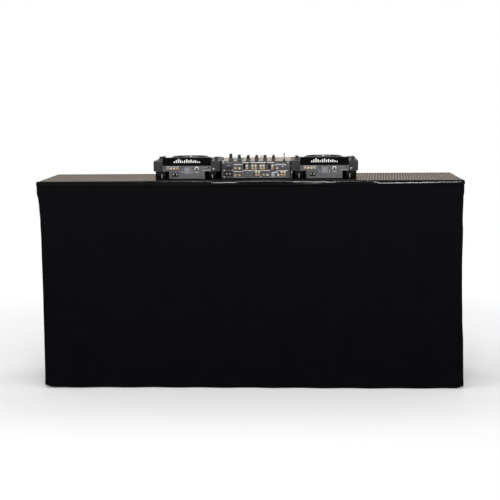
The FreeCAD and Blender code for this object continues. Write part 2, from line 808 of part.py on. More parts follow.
def xlr_socket():
    """A flanged round socket with three pins."""
    floor = "(xlr_wall - xlr_depth)"
    shell = fuse(
        "xlr_shell",
        block("xlr_plate", ("xlr_flange_width", "xlr_flange_height", "xlr_flange"), ("0", "0", "0")),
        rod("xlr_barrel", "xlr_radius", "xlr_depth", ("0", "0", "-1 * xlr_depth")))
    recess = rod("xlr_recess", "xlr_radius - xlr_wall", f"xlr_flange + overrun - {floor}", ("0", "0", floor))
    pins = []
    for angle in (0, 120, 240):
        spot = (f"xlr_pin_circle * sin({angle})", f"-1 * xlr_pin_circle * cos({angle})", floor)
        pins.append(rod("xlr_pin", "xlr_pin_radius", "xlr_pin_length", spot))
    return fuse("xlr_socket", cut("xlr_hollow", shell, recess), *pins)


FITTINGS = {
    "phono_sockets": phono_socket(),
    "panel_screws": panel_screw(),
    "power_inlets": power_inlet(),
    "xlr_sockets": xlr_socket(),
}
BORE_RADII = {
    "phono_sockets": "phono_tail_radius + fit_clearance",
    "panel_screws": "screw_radius + fit_clearance",
    "xlr_sockets": "xlr_radius + fit_clearance",
}


def fit(kind, x, z):
    """Fits a socket or screw on a rear panel. Gives the hole that the panel needs."""
    GROUPS[kind].append(copy(FITTINGS[kind], (x, PANEL_FACE, z), "front"))
    start = f"{PANEL_FACE} - overrun"
    depth = "(panel_thickness + 2 * overrun)"
    if kind == "power_inlets":
        hole_size = ("inlet_width + 2 * fit_clearance", depth, "inlet_height + 2 * fit_clearance")
        middle = f"{start} + {depth} / 2"
        return block("inlet_hole", hole_size, (x, middle, f"{z} - inlet_height / 2 - fit_clearance"))
    return rod("panel_hole", BORE_RADII[kind], depth, (x, start, z), "back")


def player_bottom_case(at):
    """A floor with a well between the feet, open to the rear panel, with a disc slot in the well's front."""
    inside = "2 * (player_wall + case_gap)"
    length = f"({TUB_FRONT} - {TUB_REAR})"
    middle = f"({TUB_FRONT} + {TUB_REAR}) / 2"
    depth = f"({PLAYER_BASE} + player_floor - {TUB_BASE})"
    floor_size = (f"player_width - {inside}", f"player_depth - {inside}", "player_floor")
    pieces = [
        block("case_floor", floor_size, at("0", "player_depth / 2", PLAYER_BASE)),
        block("tub_outer", ("tub_width", length, depth), at("0", middle, TUB_BASE)),
    ]
    for side in SIGNS:
        for end in SIGNS:
            x = f"{side} * (circuit_width / 2 - standoff_inset)"
            y = f"jog_back + {end} * (circuit_depth / 2 - standoff_inset)"
            spot = at(x, y, f"{PLAYER_BASE} + player_floor")
            pieces.append(rod("standoff", "standoff_radius", "standoff_height", spot))
    hollow_size = ("tub_width - 2 * tub_wall", f"{length} - tub_wall + overrun", f"{depth} + overrun")
    hollow_middle = f"{middle} - (tub_wall + overrun) / 2"
    hollow = block("tub_hollow", hollow_size, at("0", hollow_middle, f"{TUB_BASE} + tub_wall"))
    return cut("player_bottom_case", fuse("case_body", *pieces), hollow, disc_slot(at))


def disc_slot(at):
    size = ("slot_width", "slot_reach + tub_wall + overrun", "slot_height")
    middle = f"{TUB_FRONT} + overrun - ({size[1]}) / 2"
    return block("disc_slot", size, at("0", middle, f"{TUB_BASE} + slot_rise"))


def player_inside(at):
    """The circuit board, power supply and disc drive that the case covers."""
    circuit_size = ("circuit_width", "circuit_depth", "circuit_thickness")
    supply_size = ("supply_width", "supply_depth", "supply_height")
    drive_size = ("drive_width", "drive_depth", "drive_height")
    well = f"{TUB_BASE} + tub_wall"
    drive = block("drive_body", drive_size, at("0", f"{TUB_FRONT} - tub_wall - drive_depth / 2", well))
    circuit = block("player_circuit", circuit_size, at("0", "jog_back", PLAYER_CIRCUIT))
    supply = block("player_supply", supply_size, at("0", "supply_rear + supply_depth / 2", well))
    GROUPS["circuit_boards"].append(circuit)
    GROUPS["power_supplies"].append(supply)
    GROUPS["disc_drives"].append(cut("disc_drive", drive, disc_slot(at)))


def player_rear_panel(at):
    """A wide strip over a narrower plate that closes the well, with the player's sockets."""
    middle = "panel_recess + panel_thickness / 2"
    strip_size = ("panel_strip_width", "panel_thickness", "panel_strip_height")
    lower_size = ("tub_width", "panel_thickness", "player_foot_height - tub_clearance")
    plate = fuse(
        "panel_plate",
        block("panel_strip", strip_size, at("0", middle, PLAYER_BASE)),
        block("panel_lower", lower_size, at("0", middle, TUB_BASE)))
    holes = []
    for kind, shares in (("phono_sockets", PLAYER_PHONO_SHARES), ("panel_screws", PLAYER_SCREW_SHARES)):
        for across, up in shares:
            x = at(f"player_width * {across}", "0", "0")[0]
            holes.append(fit(kind, x, f"{PLAYER_BASE} + panel_strip_height * {up}"))
    inlet_x = at(f"player_width * {PLAYER_INLET_SHARE}", "0", "0")[0]
    holes.append(fit("power_inlets", inlet_x, f"({TUB_BASE} + inlet_rise)"))
    return cut("player_rear_panel", plate, *holes)


def player_hood(at):
    """A hollow wedge behind the jog wheel that holds the screen in its sloping roof."""
    outer = prism("hood_outer", "YZ_Plane", [
        ("0", "0"), ("hood_depth", "0"), ("hood_depth", "hood_front_height"),
        ("hood_nose", "hood_rear_height"), ("0", "hood_rear_height - hood_nose")], "panel_strip_width")
    inner = prism("hood_inner", "YZ_Plane", [
        ("hood_wall", "-1 * overrun"), ("hood_depth - hood_wall", "-1 * overrun"),
        ("hood_depth - hood_wall", "hood_front_height - hood_roof"),
        ("hood_wall", "hood_rear_height - hood_nose - hood_wall")], "panel_strip_width - 2 * hood_wall")
    place(outer, at("-1 * panel_strip_width / 2", "0", HOOD_BASE))
    place(inner, at("hood_wall - panel_strip_width / 2", "0", HOOD_BASE))
    down = f"(screen_start * sin({HOOD_SLOPE}) + screen_thickness * cos({HOOD_SLOPE}))"
    back = f"(screen_start * cos({HOOD_SLOPE}) - screen_thickness * sin({HOOD_SLOPE}))"
    spot = at("-1 * screen_width / 2", f"hood_nose + {back}", f"{HOOD_BASE} + hood_rear_height - {down}")
    screen = box("player_screen", ("screen_width", "screen_length", "screen_thickness"), spot)
    screen.Placement.Rotation = FreeCAD.Rotation(-X_AXIS, 1)
    screen.setExpression("Placement.Rotation.Angle", cells(HOOD_SLOPE))
    GROUPS["player_screens"].append(screen)
    GROUPS["player_display_hoods"].append(cut("player_hood", outer, inner, screen))


def jog_wheel(side, at):
    """A turned dish with a sloping side and finger dimples in its rim, round a hub on the circuit board."""
    bore = "(hub_radius + hub_clearance)"
    shoulder = "(jog_radius - jog_slope)"
    rim = f"({shoulder} - jog_rim)"
    wheel = turned(f"{side}_jog_wheel", [
        (bore, f"{JOG_DECK} - jog_skin"), (rim, f"{JOG_DECK} - jog_skin"), (rim, "0"), ("jog_radius", "0"),
        ("jog_radius", "jog_side"), (shoulder, "jog_height"),
        (rim, "jog_height"), (f"{rim} - jog_bevel", JOG_DECK), (bore, JOG_DECK)])
    scallop(wheel, "dimple_radius", f"{shoulder} - jog_rim / 2", "jog_height", "dimple_depth", JOG_DIMPLES)
    place(wheel, at("0", "jog_back", f"{PLAYER_TOP} + jog_gap"))
    node(f"{side}_jog_wheel", wheel)
    base = f"({PLAYER_CIRCUIT} + circuit_thickness)"
    rise = f"({PLAYER_TOP} + jog_gap + {JOG_DECK} - {base})"
    post = rod("hub_post", "hub_radius", rise, at("0", "jog_back", base))
    hollow = rod("hub_hollow", "hub_radius - hub_wall", f"{rise} - hub_wall + overrun",
                 at("0", "jog_back", f"{base} - overrun"))
    GROUPS["jog_hubs"].append(cut("jog_hub", post, hollow))


def player_controls(side, at):
    """The controls in a player's top. Gives the openings that the top case needs."""
    top = PLAYER_TOP
    plate = "player_wall"
    tempo = at("-1 * tempo_reach", "tempo_back", "0")[:2]
    browse = at("-1 * browse_reach", "browse_back", "0")[:2]
    openings = [
        fader(f"{side}_tempo_fader", tempo, "y", top, plate, "tempo_travel"),
        knob(f"{side}_browse_knob", browse, top, plate, "browse_radius", "browse_height"),
        button(f"{side}_play_button", at("button_reach", "play_back", "0")[:2], top, plate),
        button(f"{side}_cue_button", at("button_reach", "cue_back", "0")[:2], top, plate),
    ]
    side_keys = at("button_reach", "side_key_back", "0")[:2]
    openings += key_mat(side_keys, 1, SIDE_KEYS, "side_key_pitch", "side_key_pitch", top, plate)
    for sign in SIGNS:
        spot = at(f"{sign} * loop_key_reach", "loop_key_back", "0")[:2]
        openings += key_mat(spot, LOOP_KEYS, 1, "loop_key_pitch", "loop_key_pitch", top, plate)
    return openings


def player_top_case(side, at):
    """A shell open below, with a raised port housing and a notch for the hood and the rear strip."""
    size = ("player_width", "player_depth", "player_case_height")
    body = slab(f"{side}_case_body", size, at("0", "player_depth / 2", PLAYER_BASE), "player_corner")
    round_off(body, is_topmost, "player_edge_round")
    inside_size = ("player_width - 2 * player_wall", "player_depth - 2 * player_wall",
                   "player_case_height - player_wall + overrun")
    inside = block("case_inside", inside_size, at("0", "player_depth / 2", f"{PLAYER_BASE} - overrun"))
    port_size = ("usb_width", "usb_depth", "usb_rise")
    port = slab("usb_housing", port_size, at("usb_reach", "usb_back", PLAYER_TOP), "player_edge_round")
    shell = fuse("case_shell", cut("case_hollow", body, inside), port)
    notch_width = "(panel_strip_width + 2 * case_gap)"
    notch = block("hood_notch", (notch_width, "hood_depth + case_gap + overrun", "player_case_height"),
                  at("0", "(hood_depth + case_gap - overrun) / 2", HOOD_BASE))
    rear_size = (notch_width, "player_wall + 2 * overrun", "panel_strip_height + 2 * overrun")
    rear = block("strip_notch", rear_size, at("0", "player_wall / 2", f"{PLAYER_BASE} - overrun"))
    hub = rod("hub_hole", "hub_opening", "player_wall + 2 * overrun",
              at("0", "jog_back", f"{PLAYER_TOP} - player_wall - overrun"))
    openings = player_controls(side, at)
    node(f"{side}_player_top_case", cut(f"{side}_player_top_case", shell, notch, rear, hub, *openings))


def player(side, foot):
    def at(x, y, z):
        return (f"({PLAYERS[side]} + ({x}))", f"({GEAR_REAR} + ({y}))", z)

    player_top_case(side, at)
    GROUPS["player_bottom_cases"].append(player_bottom_case(at))
    GROUPS["player_rear_panels"].append(player_rear_panel(at))
    player_hood(at)
    jog_wheel(side, at)
    player_inside(at)
    for sign in SIGNS:
        for y in ("foot_rear_inset", "player_depth - foot_front_inset"):
            GROUPS["equipment_feet"].append(copy(foot, at(f"{sign} * foot_spread / 2", y, "table_height")))


def player_foot():
    groove_top = "(foot_groove_rise + foot_groove_height)"
    return turned("player_foot", [
        ("0", "0"), ("foot_radius - foot_bevel", "0"), ("foot_radius", "foot_bevel"),
        ("foot_radius", "foot_groove_rise"), ("foot_radius - foot_groove", "foot_groove_rise"),
        ("foot_radius - foot_groove", groove_top), ("foot_radius", groove_top),
        ("foot_radius", "player_foot_height"), ("0", "player_foot_height")])


def mixer_foot():
    return turned("mixer_foot", [
        ("0", "0"), ("mixer_foot_radius - mixer_foot_bevel", "0"), ("mixer_foot_radius", "mixer_foot_bevel"),
        ("mixer_foot_radius", "mixer_foot_height"), ("0", "mixer_foot_height")])


def mixer_case(at):
    """A folded tray, open at the top and at the rear, with standoffs on its floor."""
    size = ("mixer_width", "mixer_depth", "mixer_case_height")
    body = slab("tray_body", size, at("0", "mixer_depth / 2", MIXER_BASE), "mixer_corner")
    inside_size = ("mixer_width - 2 * mixer_wall", "mixer_depth - mixer_wall + overrun",
                   "mixer_case_height + overrun")
    inside = block("tray_inside", inside_size,
                   at("0", "(mixer_depth - mixer_wall - overrun) / 2", f"{MIXER_BASE} + mixer_wall"))
    posts = []
    for side in SIGNS:
        for end in SIGNS:
            x = f"mixer_circuit_shift + {side} * (mixer_circuit_width / 2 - standoff_inset)"
            y = f"mixer_depth / 2 + {end} * (mixer_circuit_depth / 2 - standoff_inset)"
            posts.append(rod("standoff", "standoff_radius", "standoff_height",
                             at(x, y, f"{MIXER_BASE} + mixer_wall")))
    return fuse("mixer_case", cut("tray_shell", body, inside), *posts)


def mixer_inside(at):
    floor = f"({MIXER_BASE} + mixer_wall)"
    circuit_size = ("mixer_circuit_width", "mixer_circuit_depth", "circuit_thickness")
    supply_size = ("mixer_supply_width", "supply_depth", "supply_height")
    circuit_spot = at("mixer_circuit_shift", "mixer_depth / 2", f"{floor} + standoff_height")
    supply_spot = at("-1 * mixer_supply_shift", "supply_rear + supply_depth / 2", floor)
    GROUPS["circuit_boards"].append(block("mixer_circuit", circuit_size, circuit_spot))
    GROUPS["power_supplies"].append(block("mixer_supply", supply_size, supply_spot))


def mixer_rear_panel(at):
    size = ("mixer_width - 2 * (mixer_wall + case_gap)", "panel_thickness", "mixer_case_height - mixer_wall")
    middle = at("0", "panel_recess + panel_thickness / 2", f"{MIXER_BASE} + mixer_wall")
    plate = block("mixer_panel", size, middle)
    kinds = {"phono_sockets": MIXER_PHONO_SHARES, "xlr_sockets": MIXER_XLR_SHARES,
             "panel_screws": MIXER_SCREW_SHARES, "power_inlets": (MIXER_INLET_SHARES,)}
    holes = []
    for kind, shares in kinds.items():
        for across, up in shares:
            x = at(f"mixer_width * {across}", "0", "0")[0]
            z = f"({MIXER_BASE} + mixer_wall + (mixer_case_height - mixer_wall) * {up})"
            holes.append(fit(kind, x, z))
    return cut("mixer_rear_panel", plate, *holes)


def mic_switch(at):
    """A lever on a ball in a bushing. Gives the hole that the plate needs."""
    x, y, pivot = at("switch_reach", "row_back", f"({MIXER_TOP} + bushing_height / 2)")
    bore = "(ball_radius + ball_clearance)"
    lever = doc.addObject("Part::Cone", "mic_lever")
    lever.setExpression("Radius1", cells("lever_root"))
    lever.setExpression("Radius2", cells("lever_tip"))
    lever.setExpression("Height", cells("lever_length"))
    place(lever, (x, y, f"{pivot} - lever_drop"))
    ball = doc.addObject("Part::Sphere", "mic_ball")
    ball.setExpression("Radius", cells("ball_radius"))
    place(ball, (x, y, pivot))
    node("mic_switch", fuse("mic_switch", lever, ball))
    bushing = rod("bushing_body", "bushing_radius", "bushing_height", (x, y, MIXER_TOP))
    hole = rod("bushing_hole", bore, "mixer_plate + bushing_height + 2 * overrun",
               (x, y, f"{MIXER_UNDER} - overrun"))
    GROUPS["knob_pots"].append(cut("switch_bushing", bushing, hole))
    return hole


def mixer_controls(at):
    """The controls in the mixer's top. Gives the openings that the top plate needs."""
    def column(number):
        return f"(column_start - {number} * column_pitch)"

    def spot(x, y):
        return at(x, y, "0")[:2]

    top = MIXER_TOP
    plate = "mixer_plate"
    openings = [mic_switch(at)]
    for row, name in enumerate(("trim", "high", "low")):
        for channel in range(CHANNELS):
            place_on_top = spot(column(channel), f"row_back + {row} * row_pitch")
            openings.append(knob(f"{name}_knob_{channel + 1}", place_on_top, top, plate,
                                 "knob_radius", "knob_height"))
    for number, name in enumerate(("master", "booth"), start=CHANNELS):
        openings.append(knob(f"{name}_knob", spot(column(number), "row_back"), top, plate,
                             "master_radius", f"{name}_height"))
    for channel in range(CHANNELS):
        rest = spot(column(channel), "channel_back")
        openings.append(fader(f"channel_fader_{channel + 1}", rest, "y", top, plate, "channel_travel"))
    middle = column((CHANNELS - 1) / 2)
    openings.append(fader("crossfader", spot(middle, "cross_back"), "x", top, plate, "cross_travel"))
    openings += key_mat(spot(middle, "cue_key_back"), CHANNELS, 1, "column_pitch", "column_pitch", top, plate)
    effects = spot(column(CHANNELS + 0.5), "effect_key_back")
    openings += key_mat(effects, 2, EFFECT_KEYS, "column_pitch", "effect_key_pitch", top, plate)
    return openings


def mixer(foot):
    def at(x, y, z):
        return (f"(gear_offset + ({x}))", f"({GEAR_REAR} + ({y}))", z)

    plate_size = ("mixer_width", "mixer_depth", "mixer_plate")
    plate = slab("plate_body", plate_size, at("0", "mixer_depth / 2", MIXER_UNDER), "mixer_corner")
    node("mixer_case", mixer_case(at))
    node("mixer_top_plate", cut("mixer_top_plate", plate, *mixer_controls(at)))
    node("mixer_rear_panel", mixer_rear_panel(at))
    mixer_inside(at)
    for sign in SIGNS:
        for y in ("mixer_foot_inset", "mixer_depth - mixer_foot_inset"):
            x = f"{sign} * (mixer_width / 2 - mixer_foot_inset)"
            GROUPS["equipment_feet"].append(copy(foot, at(x, y, "table_height")))


def export():
    """Writes every sub-part once all of them have come out sound."""
    for label, pieces in GROUPS.items():
        node(label, group(label, pieces))
    doc.recompute()
    for thing in doc.Objects:
        if {"Invalid", "Error"} & set(thing.State):
            raise RuntimeError(f"{thing.Label} failed: {thing.State}")
    for label, thing in NODES.items():
        if thing.Shape.isNull() or not thing.Shape.isValid() or not thing.Shape.Solids:
            raise RuntimeError(f"{label} has no sound shape")
    os.makedirs("parts", exist_ok=True)
    for label, thing in NODES.items():
        thing.Shape.exportStep(f"parts/{label}.step")
        print(label, len(thing.Shape.Solids), "solids", round(thing.Shape.Volume), "mm3")


table_top()
table_frame()
legs()
hook_tape()
skirt()
cylinder_foot = player_foot()
for name in PLAYERS:
    player(name, cylinder_foot)
mixer(mixer_foot())
export()
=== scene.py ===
import json
import math

import bmesh
import bpy
from mathutils import Matrix, Vector, noise


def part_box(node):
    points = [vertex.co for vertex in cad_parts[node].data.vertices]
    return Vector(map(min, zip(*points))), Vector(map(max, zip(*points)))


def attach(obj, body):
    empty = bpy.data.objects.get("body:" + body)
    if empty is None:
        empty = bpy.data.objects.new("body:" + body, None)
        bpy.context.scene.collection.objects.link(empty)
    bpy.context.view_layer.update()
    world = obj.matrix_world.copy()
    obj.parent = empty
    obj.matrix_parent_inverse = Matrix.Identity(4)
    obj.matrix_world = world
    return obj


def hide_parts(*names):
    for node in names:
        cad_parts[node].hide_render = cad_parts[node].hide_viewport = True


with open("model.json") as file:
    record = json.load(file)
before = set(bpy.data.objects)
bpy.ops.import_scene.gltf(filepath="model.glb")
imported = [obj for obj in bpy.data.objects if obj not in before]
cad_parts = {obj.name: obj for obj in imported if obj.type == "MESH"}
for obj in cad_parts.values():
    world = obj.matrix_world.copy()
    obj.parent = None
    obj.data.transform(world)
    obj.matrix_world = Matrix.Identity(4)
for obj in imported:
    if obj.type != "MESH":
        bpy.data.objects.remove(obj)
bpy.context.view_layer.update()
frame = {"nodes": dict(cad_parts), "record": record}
nodes = frame["nodes"]
scene = bpy.context.scene

# A DJ booth seen from the audience: a skirted table with two players and a mixer on it.
# Metres, Z up, the audience at -Y and the DJ at +Y.

# Places that the pieces share, from the frame

def middle_of(node):
    low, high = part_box(node)
    return (low + high) / 2


PANEL_LOW, PANEL_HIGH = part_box("mixer_rear_panel")
PLATE_LOW, PLATE_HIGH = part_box("mixer_top_plate")
CASE_LOW, CASE_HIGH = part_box("left_player_top_case")
PLAYER_MIDDLES = {side: middle_of(f"{side}_jog_wheel").x for side in ("left", "right")}
PLAYERS_BETWEEN = sum(PLAYER_MIDDLES.values()) / 2
PLAYERS_APART = (PLAYER_MIDDLES["right"] - PLAYER_MIDDLES["left"]) / 2
PLAYER_WIDTH = CASE_HIGH.x - CASE_LOW.x
PLAYER_BASE = CASE_LOW.z
PLAYER_HEIGHT = 0.048
PLAYER_TOP = PLAYER_BASE + PLAYER_HEIGHT
GEAR_REAR = PLATE_LOW.y
PANEL_SETBACK = 0.0005
PANEL_FACE = GEAR_REAR + PANEL_SETBACK
MIXER_MIDDLE = middle_of("mixer_top_plate").x
MIXER_WIDTH = PLATE_HIGH.x - PLATE_LOW.x
MIXER_TOP = PLATE_HIGH.z
COLUMNS = [middle_of(f"trim_knob_{channel}").x for channel in range(1, 5)]
COLUMN_PITCH = COLUMNS[0] - COLUMNS[1]
ROWS = [middle_of(f"{row}_knob_1").y for row in ("trim", "high", "low")]
HUB_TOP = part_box("jog_hubs")[1].z
JOG_MIDDLE_Y = middle_of("left_jog_wheel").y

HALF_TURN = math.pi
FULL_TURN = 2 * math.pi

# How deep the grain of a moulded or painted surface goes
GRAIN_DEPTH = 0.0003


# Building shader trees

def add(tree, kind, settings=None, **inputs):
    """Adds a node, sets its options, and fills or links its inputs by name."""
    step = tree.nodes.new(kind)
    for key, value in (settings or {}).items():
        setattr(step, key, value)
    for key, value in inputs.items():
        feed(tree, value, step.inputs[key.replace("_", " ")])
    return step


def feed(tree, source, socket):
    """Links a socket to another, or sets it to a number, colour or vector."""
    if isinstance(source, bpy.types.NodeSocket):
        tree.links.new(source, socket)
    else:
        socket.default_value = source


def maths(tree, operation, first, second=0.0, third=0.0):
    step = tree.nodes.new("ShaderNodeMath")
    step.operation = operation
    for source, socket in zip((first, second, third), step.inputs):
        feed(tree, source, socket)
    return step.outputs[0]


def times(tree, first, second):
    return maths(tree, "MULTIPLY", first, second)


def raised_by(tree, value, share, start):
    """A share of a value on top of a start."""
    return maths(tree, "MULTIPLY_ADD", value, share, start)


def apart(tree, value, middle):
    """How far a value is from a middle, on either side."""
    return maths(tree, "ABSOLUTE", maths(tree, "SUBTRACT", value, middle))


def waves(tree, value, pitch):
    """Swings between minus one and one, once in every pitch."""
    return maths(tree, "SINE", times(tree, value, FULL_TURN / pitch))


def ranged(tree, value, low, high, out_low=0.0, out_high=1.0):
    step = tree.nodes.new("ShaderNodeMapRange")
    for source, socket in zip((value, low, high, out_low, out_high), step.inputs):
        feed(tree, source, socket)
    return step.outputs[0]


def blended(tree, share, first, second):
    """A colour between two colours."""
    step = tree.nodes.new("ShaderNodeMix")
    step.data_type = "RGBA"
    feed(tree, share, step.inputs[0])
    feed(tree, first, step.inputs[6])
    feed(tree, second, step.inputs[7])
    return step.outputs[2]


def noisy(tree, settings=None, **inputs):
    return add(tree, "ShaderNodeTexNoise", settings, **inputs).outputs[0]


def object_spot(tree):
    return add(tree, "ShaderNodeTexCoord").outputs["Object"]


def axes(tree, spot):
    return add(tree, "ShaderNodeSeparateXYZ", Vector=spot).outputs


def upward(tree, low, high):
    """Rises to one on faces that look up."""
    return ranged(tree, axes(tree, add(tree, "ShaderNodeNewGeometry").outputs["Normal"])["Z"], low, high)


def rgb(red, green, blue):
    return (red, green, blue, 1.0)


def lighter(colour, share):
    return rgb(*[min(1.0, part * share) for part in colour[:3]])


def effect(name, inputs, outputs):
    """An empty shader group with named number sockets."""
    tree = bpy.data.node_groups.new(name, "ShaderNodeTree")
    for label, number in inputs.items():
        socket = tree.interface.new_socket(label, in_out="INPUT", socket_type="NodeSocketFloat")
        socket.default_value = number
    for label in outputs:
        tree.interface.new_socket(label, in_out="OUTPUT", socket_type="NodeSocketFloat")
    return tree, tree.nodes.new("NodeGroupInput").outputs, tree.nodes.new("NodeGroupOutput").inputs


def surface_life():
    """Fine grain, broad tone, thin scuffs and settled dust for moulded and painted surfaces."""
    tree, given, put = effect(
        "surface_life", {"Grain Scale": 900.0, "Patch Scale": 7.0}, ("Grain", "Patch", "Scuff", "Dust"))
    spot = object_spot(tree)
    patch = noisy(tree, Vector=spot, Scale=given["Patch Scale"], Detail=4.0)
    line_scale = times(tree, given["Patch Scale"], 3.0)
    line = noisy(tree, Vector=spot, Scale=line_scale, Detail=5.0, Distortion=1.2)
    thin = ranged(tree, apart(tree, line, 0.5), 0.0, 0.012, 1.0, 0.0)
    some = ranged(tree, patch, 0.52, 0.66)
    speck = noisy(tree, Vector=spot, Scale=160.0, Detail=6.0, Roughness=0.75)
    cover = ranged(tree, speck, 0.5, 0.72)
    feed(tree, noisy(tree, Vector=spot, Scale=given["Grain Scale"], Detail=2.0), put["Grain"])
    feed(tree, ranged(tree, patch, 0.3, 0.7), put["Patch"])
    feed(tree, times(tree, thin, some), put["Scuff"])
    feed(tree, times(tree, upward(tree, 0.55, 0.95), cover), put["Dust"])
    return tree


def fabric_weave():
    """Crossing threads on a piece's own UV map, in metres."""
    tree, given, put = effect("fabric_weave", {"Thread Pitch": 0.0012}, ("Height", "Tone"))
    spot = add(tree, "ShaderNodeUVMap").outputs["UV"]
    flat = axes(tree, spot)
    turns = maths(tree, "DIVIDE", FULL_TURN, given["Thread Pitch"])
    warp, weft = [maths(tree, "SINE", times(tree, flat[axis], turns)) for axis in "XY"]
    slub = noisy(tree, Vector=spot, Scale=55.0, Detail=5.0, Roughness=0.7)
    feed(tree, raised_by(tree, times(tree, warp, weft), 0.5, slub), put["Height"])
    feed(tree, slub, put["Tone"])
    return tree


SURFACE_LIFE = surface_life()
FABRIC_WEAVE = fabric_weave()
SCUFF_PALE = rgb(0.45, 0.44, 0.43)
DUST_PALE = rgb(0.40, 0.38, 0.35)


def placed_effect(tree, group, **inputs):
    """Places a shared effect in a material, and gives its outputs."""
    step = tree.nodes.new("ShaderNodeGroup")
    step.node_tree = group
    for key, value in inputs.items():
        feed(tree, value, step.inputs[key.replace("_", " ")])
    return step.outputs


def surface(tree, grain, patch=7.0):
    return placed_effect(tree, SURFACE_LIFE, Grain_Scale=grain, Patch_Scale=patch)


def bare_material(name, **sockets):
    material = bpy.data.materials.new(name)
    material.use_nodes = True
    tree = material.node_tree
    shader = tree.nodes["Principled BSDF"]
    for key, value in sockets.items():
        shader.inputs[key.replace("_", " ")].default_value = value
    return material, tree, shader


def worn(tree, shader, colour, roughness, life, tone, scuff, dust):
    """Colours a surface with broad tone, pale scuffs and dust, and varies its roughness with them."""
    base = blended(tree, life["Patch"], lighter(colour, 1 - tone), lighter(colour, 1 + tone))
    scuffed = blended(tree, times(tree, life["Scuff"], scuff), base, SCUFF_PALE)
    dusted = blended(tree, times(tree, life["Dust"], dust), scuffed, DUST_PALE)
    feed(tree, dusted, shader.inputs["Base Color"])
    rough = raised_by(tree, life["Patch"], 0.10, roughness - 0.05)
    feed(tree, raised_by(tree, life["Dust"], dust, rough), shader.inputs["Roughness"])


def bumped(tree, shader, height, strength, distance):
    bump = add(tree, "ShaderNodeBump", Strength=strength, Distance=distance, Height=height)
    feed(tree, bump.outputs["Normal"], shader.inputs["Normal"])


def along_surface(tree):
    """Rises to one where a surface is seen almost along itself."""
    return ranged(tree, add(tree, "ShaderNodeLayerWeight", Blend=0.5).outputs["Facing"], 0.80, 0.94)


def calm_edges(tree, shader, gloss):
    """Takes the mirror from a dark surface where it is seen almost along itself."""
    socket = shader.inputs["Specular IOR Level"]
    socket.default_value = gloss
    feed(tree, raised_by(tree, along_surface(tree), -gloss, gloss), socket)


def glaze_edges(tree, shader, share):
    """Lets a dark satin surface shine only where it is seen almost along itself."""
    feed(tree, times(tree, along_surface(tree), share), shader.inputs["Metallic"])


def plain_finish(name, colour, roughness, grain=900.0, depth=0.25, tone=0.12, scuff=0.15, dust=0.08,
                 gloss=0.15, calm=False):
    """A moulded, painted or cast surface with grain, scuffs and dust."""
    material, tree, shader = bare_material(name, Specular_IOR_Level=gloss)
    if calm:
        calm_edges(tree, shader, gloss)
    life = surface(tree, grain)
    worn(tree, shader, colour, roughness, life, tone, scuff, dust)
    bumped(tree, shader, life["Grain"], depth, GRAIN_DEPTH)
    return material


def warm_finish(name, colour, roughness, grain, depth, scuff, dust, gloss, glaze):
    """A dark grained plastic or satin paint, warm where it is seen along the surface."""
    material, tree, shader = bare_material(
        name, Specular_IOR_Level=gloss, Specular_Tint=rgb(1.0, 0.86, 0.72))
    glaze_edges(tree, shader, glaze)
    life = surface(tree, grain)
    worn(tree, shader, colour, roughness, life, 0.12, scuff, dust)
    bumped(tree, shader, life["Grain"], depth, GRAIN_DEPTH)
    return material


def brushed_finish(name, colour, roughness, stretch):
    """Drawn or brushed metal whose lines run along the axis with the small stretch."""
    material, tree, shader = bare_material(name, Metallic=1.0)
    drawn = add(tree, "ShaderNodeMapping", Vector=object_spot(tree), Scale=stretch)
    streak = noisy(tree, Vector=drawn.outputs[0], Scale=1.0, Detail=3.0)
    life = surface(tree, 500.0, 9.0)
    shade = blended(tree, streak, lighter(colour, 0.86), lighter(colour, 1.1))
    dull = blended(tree, times(tree, life["Scuff"], 0.4), shade, lighter(colour, 0.6))
    feed(tree, dull, shader.inputs["Base Color"])
    feed(tree, raised_by(tree, streak, 0.16, roughness - 0.08), shader.inputs["Roughness"])
    bumped(tree, shader, streak, 0.12, 0.0002)
    return material


def phenolic_film():
    """Dark brown board film: smooth below, and above with a pressed mesh that slants off a seam."""
    seam, slant = 0.05, -0.065
    wide_pitch, narrow_pitch = 0.0135, 0.0055
    material, tree, shader = bare_material(
        "phenolic_film", Specular_IOR_Level=0.0, Specular_Tint=rgb(1.0, 0.84, 0.68))
    flat = axes(tree, object_spot(tree))
    slanted = raised_by(tree, flat["Y"], slant, apart(tree, flat["X"], seam))
    wide = ranged(tree, waves(tree, slanted, wide_pitch), -0.2, 0.2)
    narrow = ranged(tree, waves(tree, flat["Y"], narrow_pitch), -0.2, 0.2)
    mesh = raised_by(tree, narrow, 0.20, wide)
    upper = upward(tree, 0.2, 0.6)
    life = surface(tree, 420.0, 5.0)
    ground = blended(tree, life["Patch"], rgb(0.006, 0.005, 0.004), rgb(0.009, 0.007, 0.005))
    wire = blended(tree, ranged(tree, mesh, 0.1, 1.2), ground, rgb(0.022, 0.018, 0.014))
    printed = blended(tree, upper, ground, wire)
    scuffed = blended(tree, times(tree, life["Scuff"], 0.2), printed, rgb(0.2, 0.18, 0.16))
    dusted = blended(tree, times(tree, life["Dust"], 0.06), scuffed, rgb(0.3, 0.27, 0.24))
    feed(tree, dusted, shader.inputs["Base Color"])
    feed(tree, raised_by(tree, life["Patch"], 0.06, 0.20), shader.inputs["Roughness"])
    raised = times(tree, mesh, upper)
    glaze_edges(tree, shader, raised_by(tree, raised, 0.29, 0.27))
    bumped(tree, shader, raised_by(tree, life["Grain"], 0.15, raised), 0.5, 0.0002)
    return material


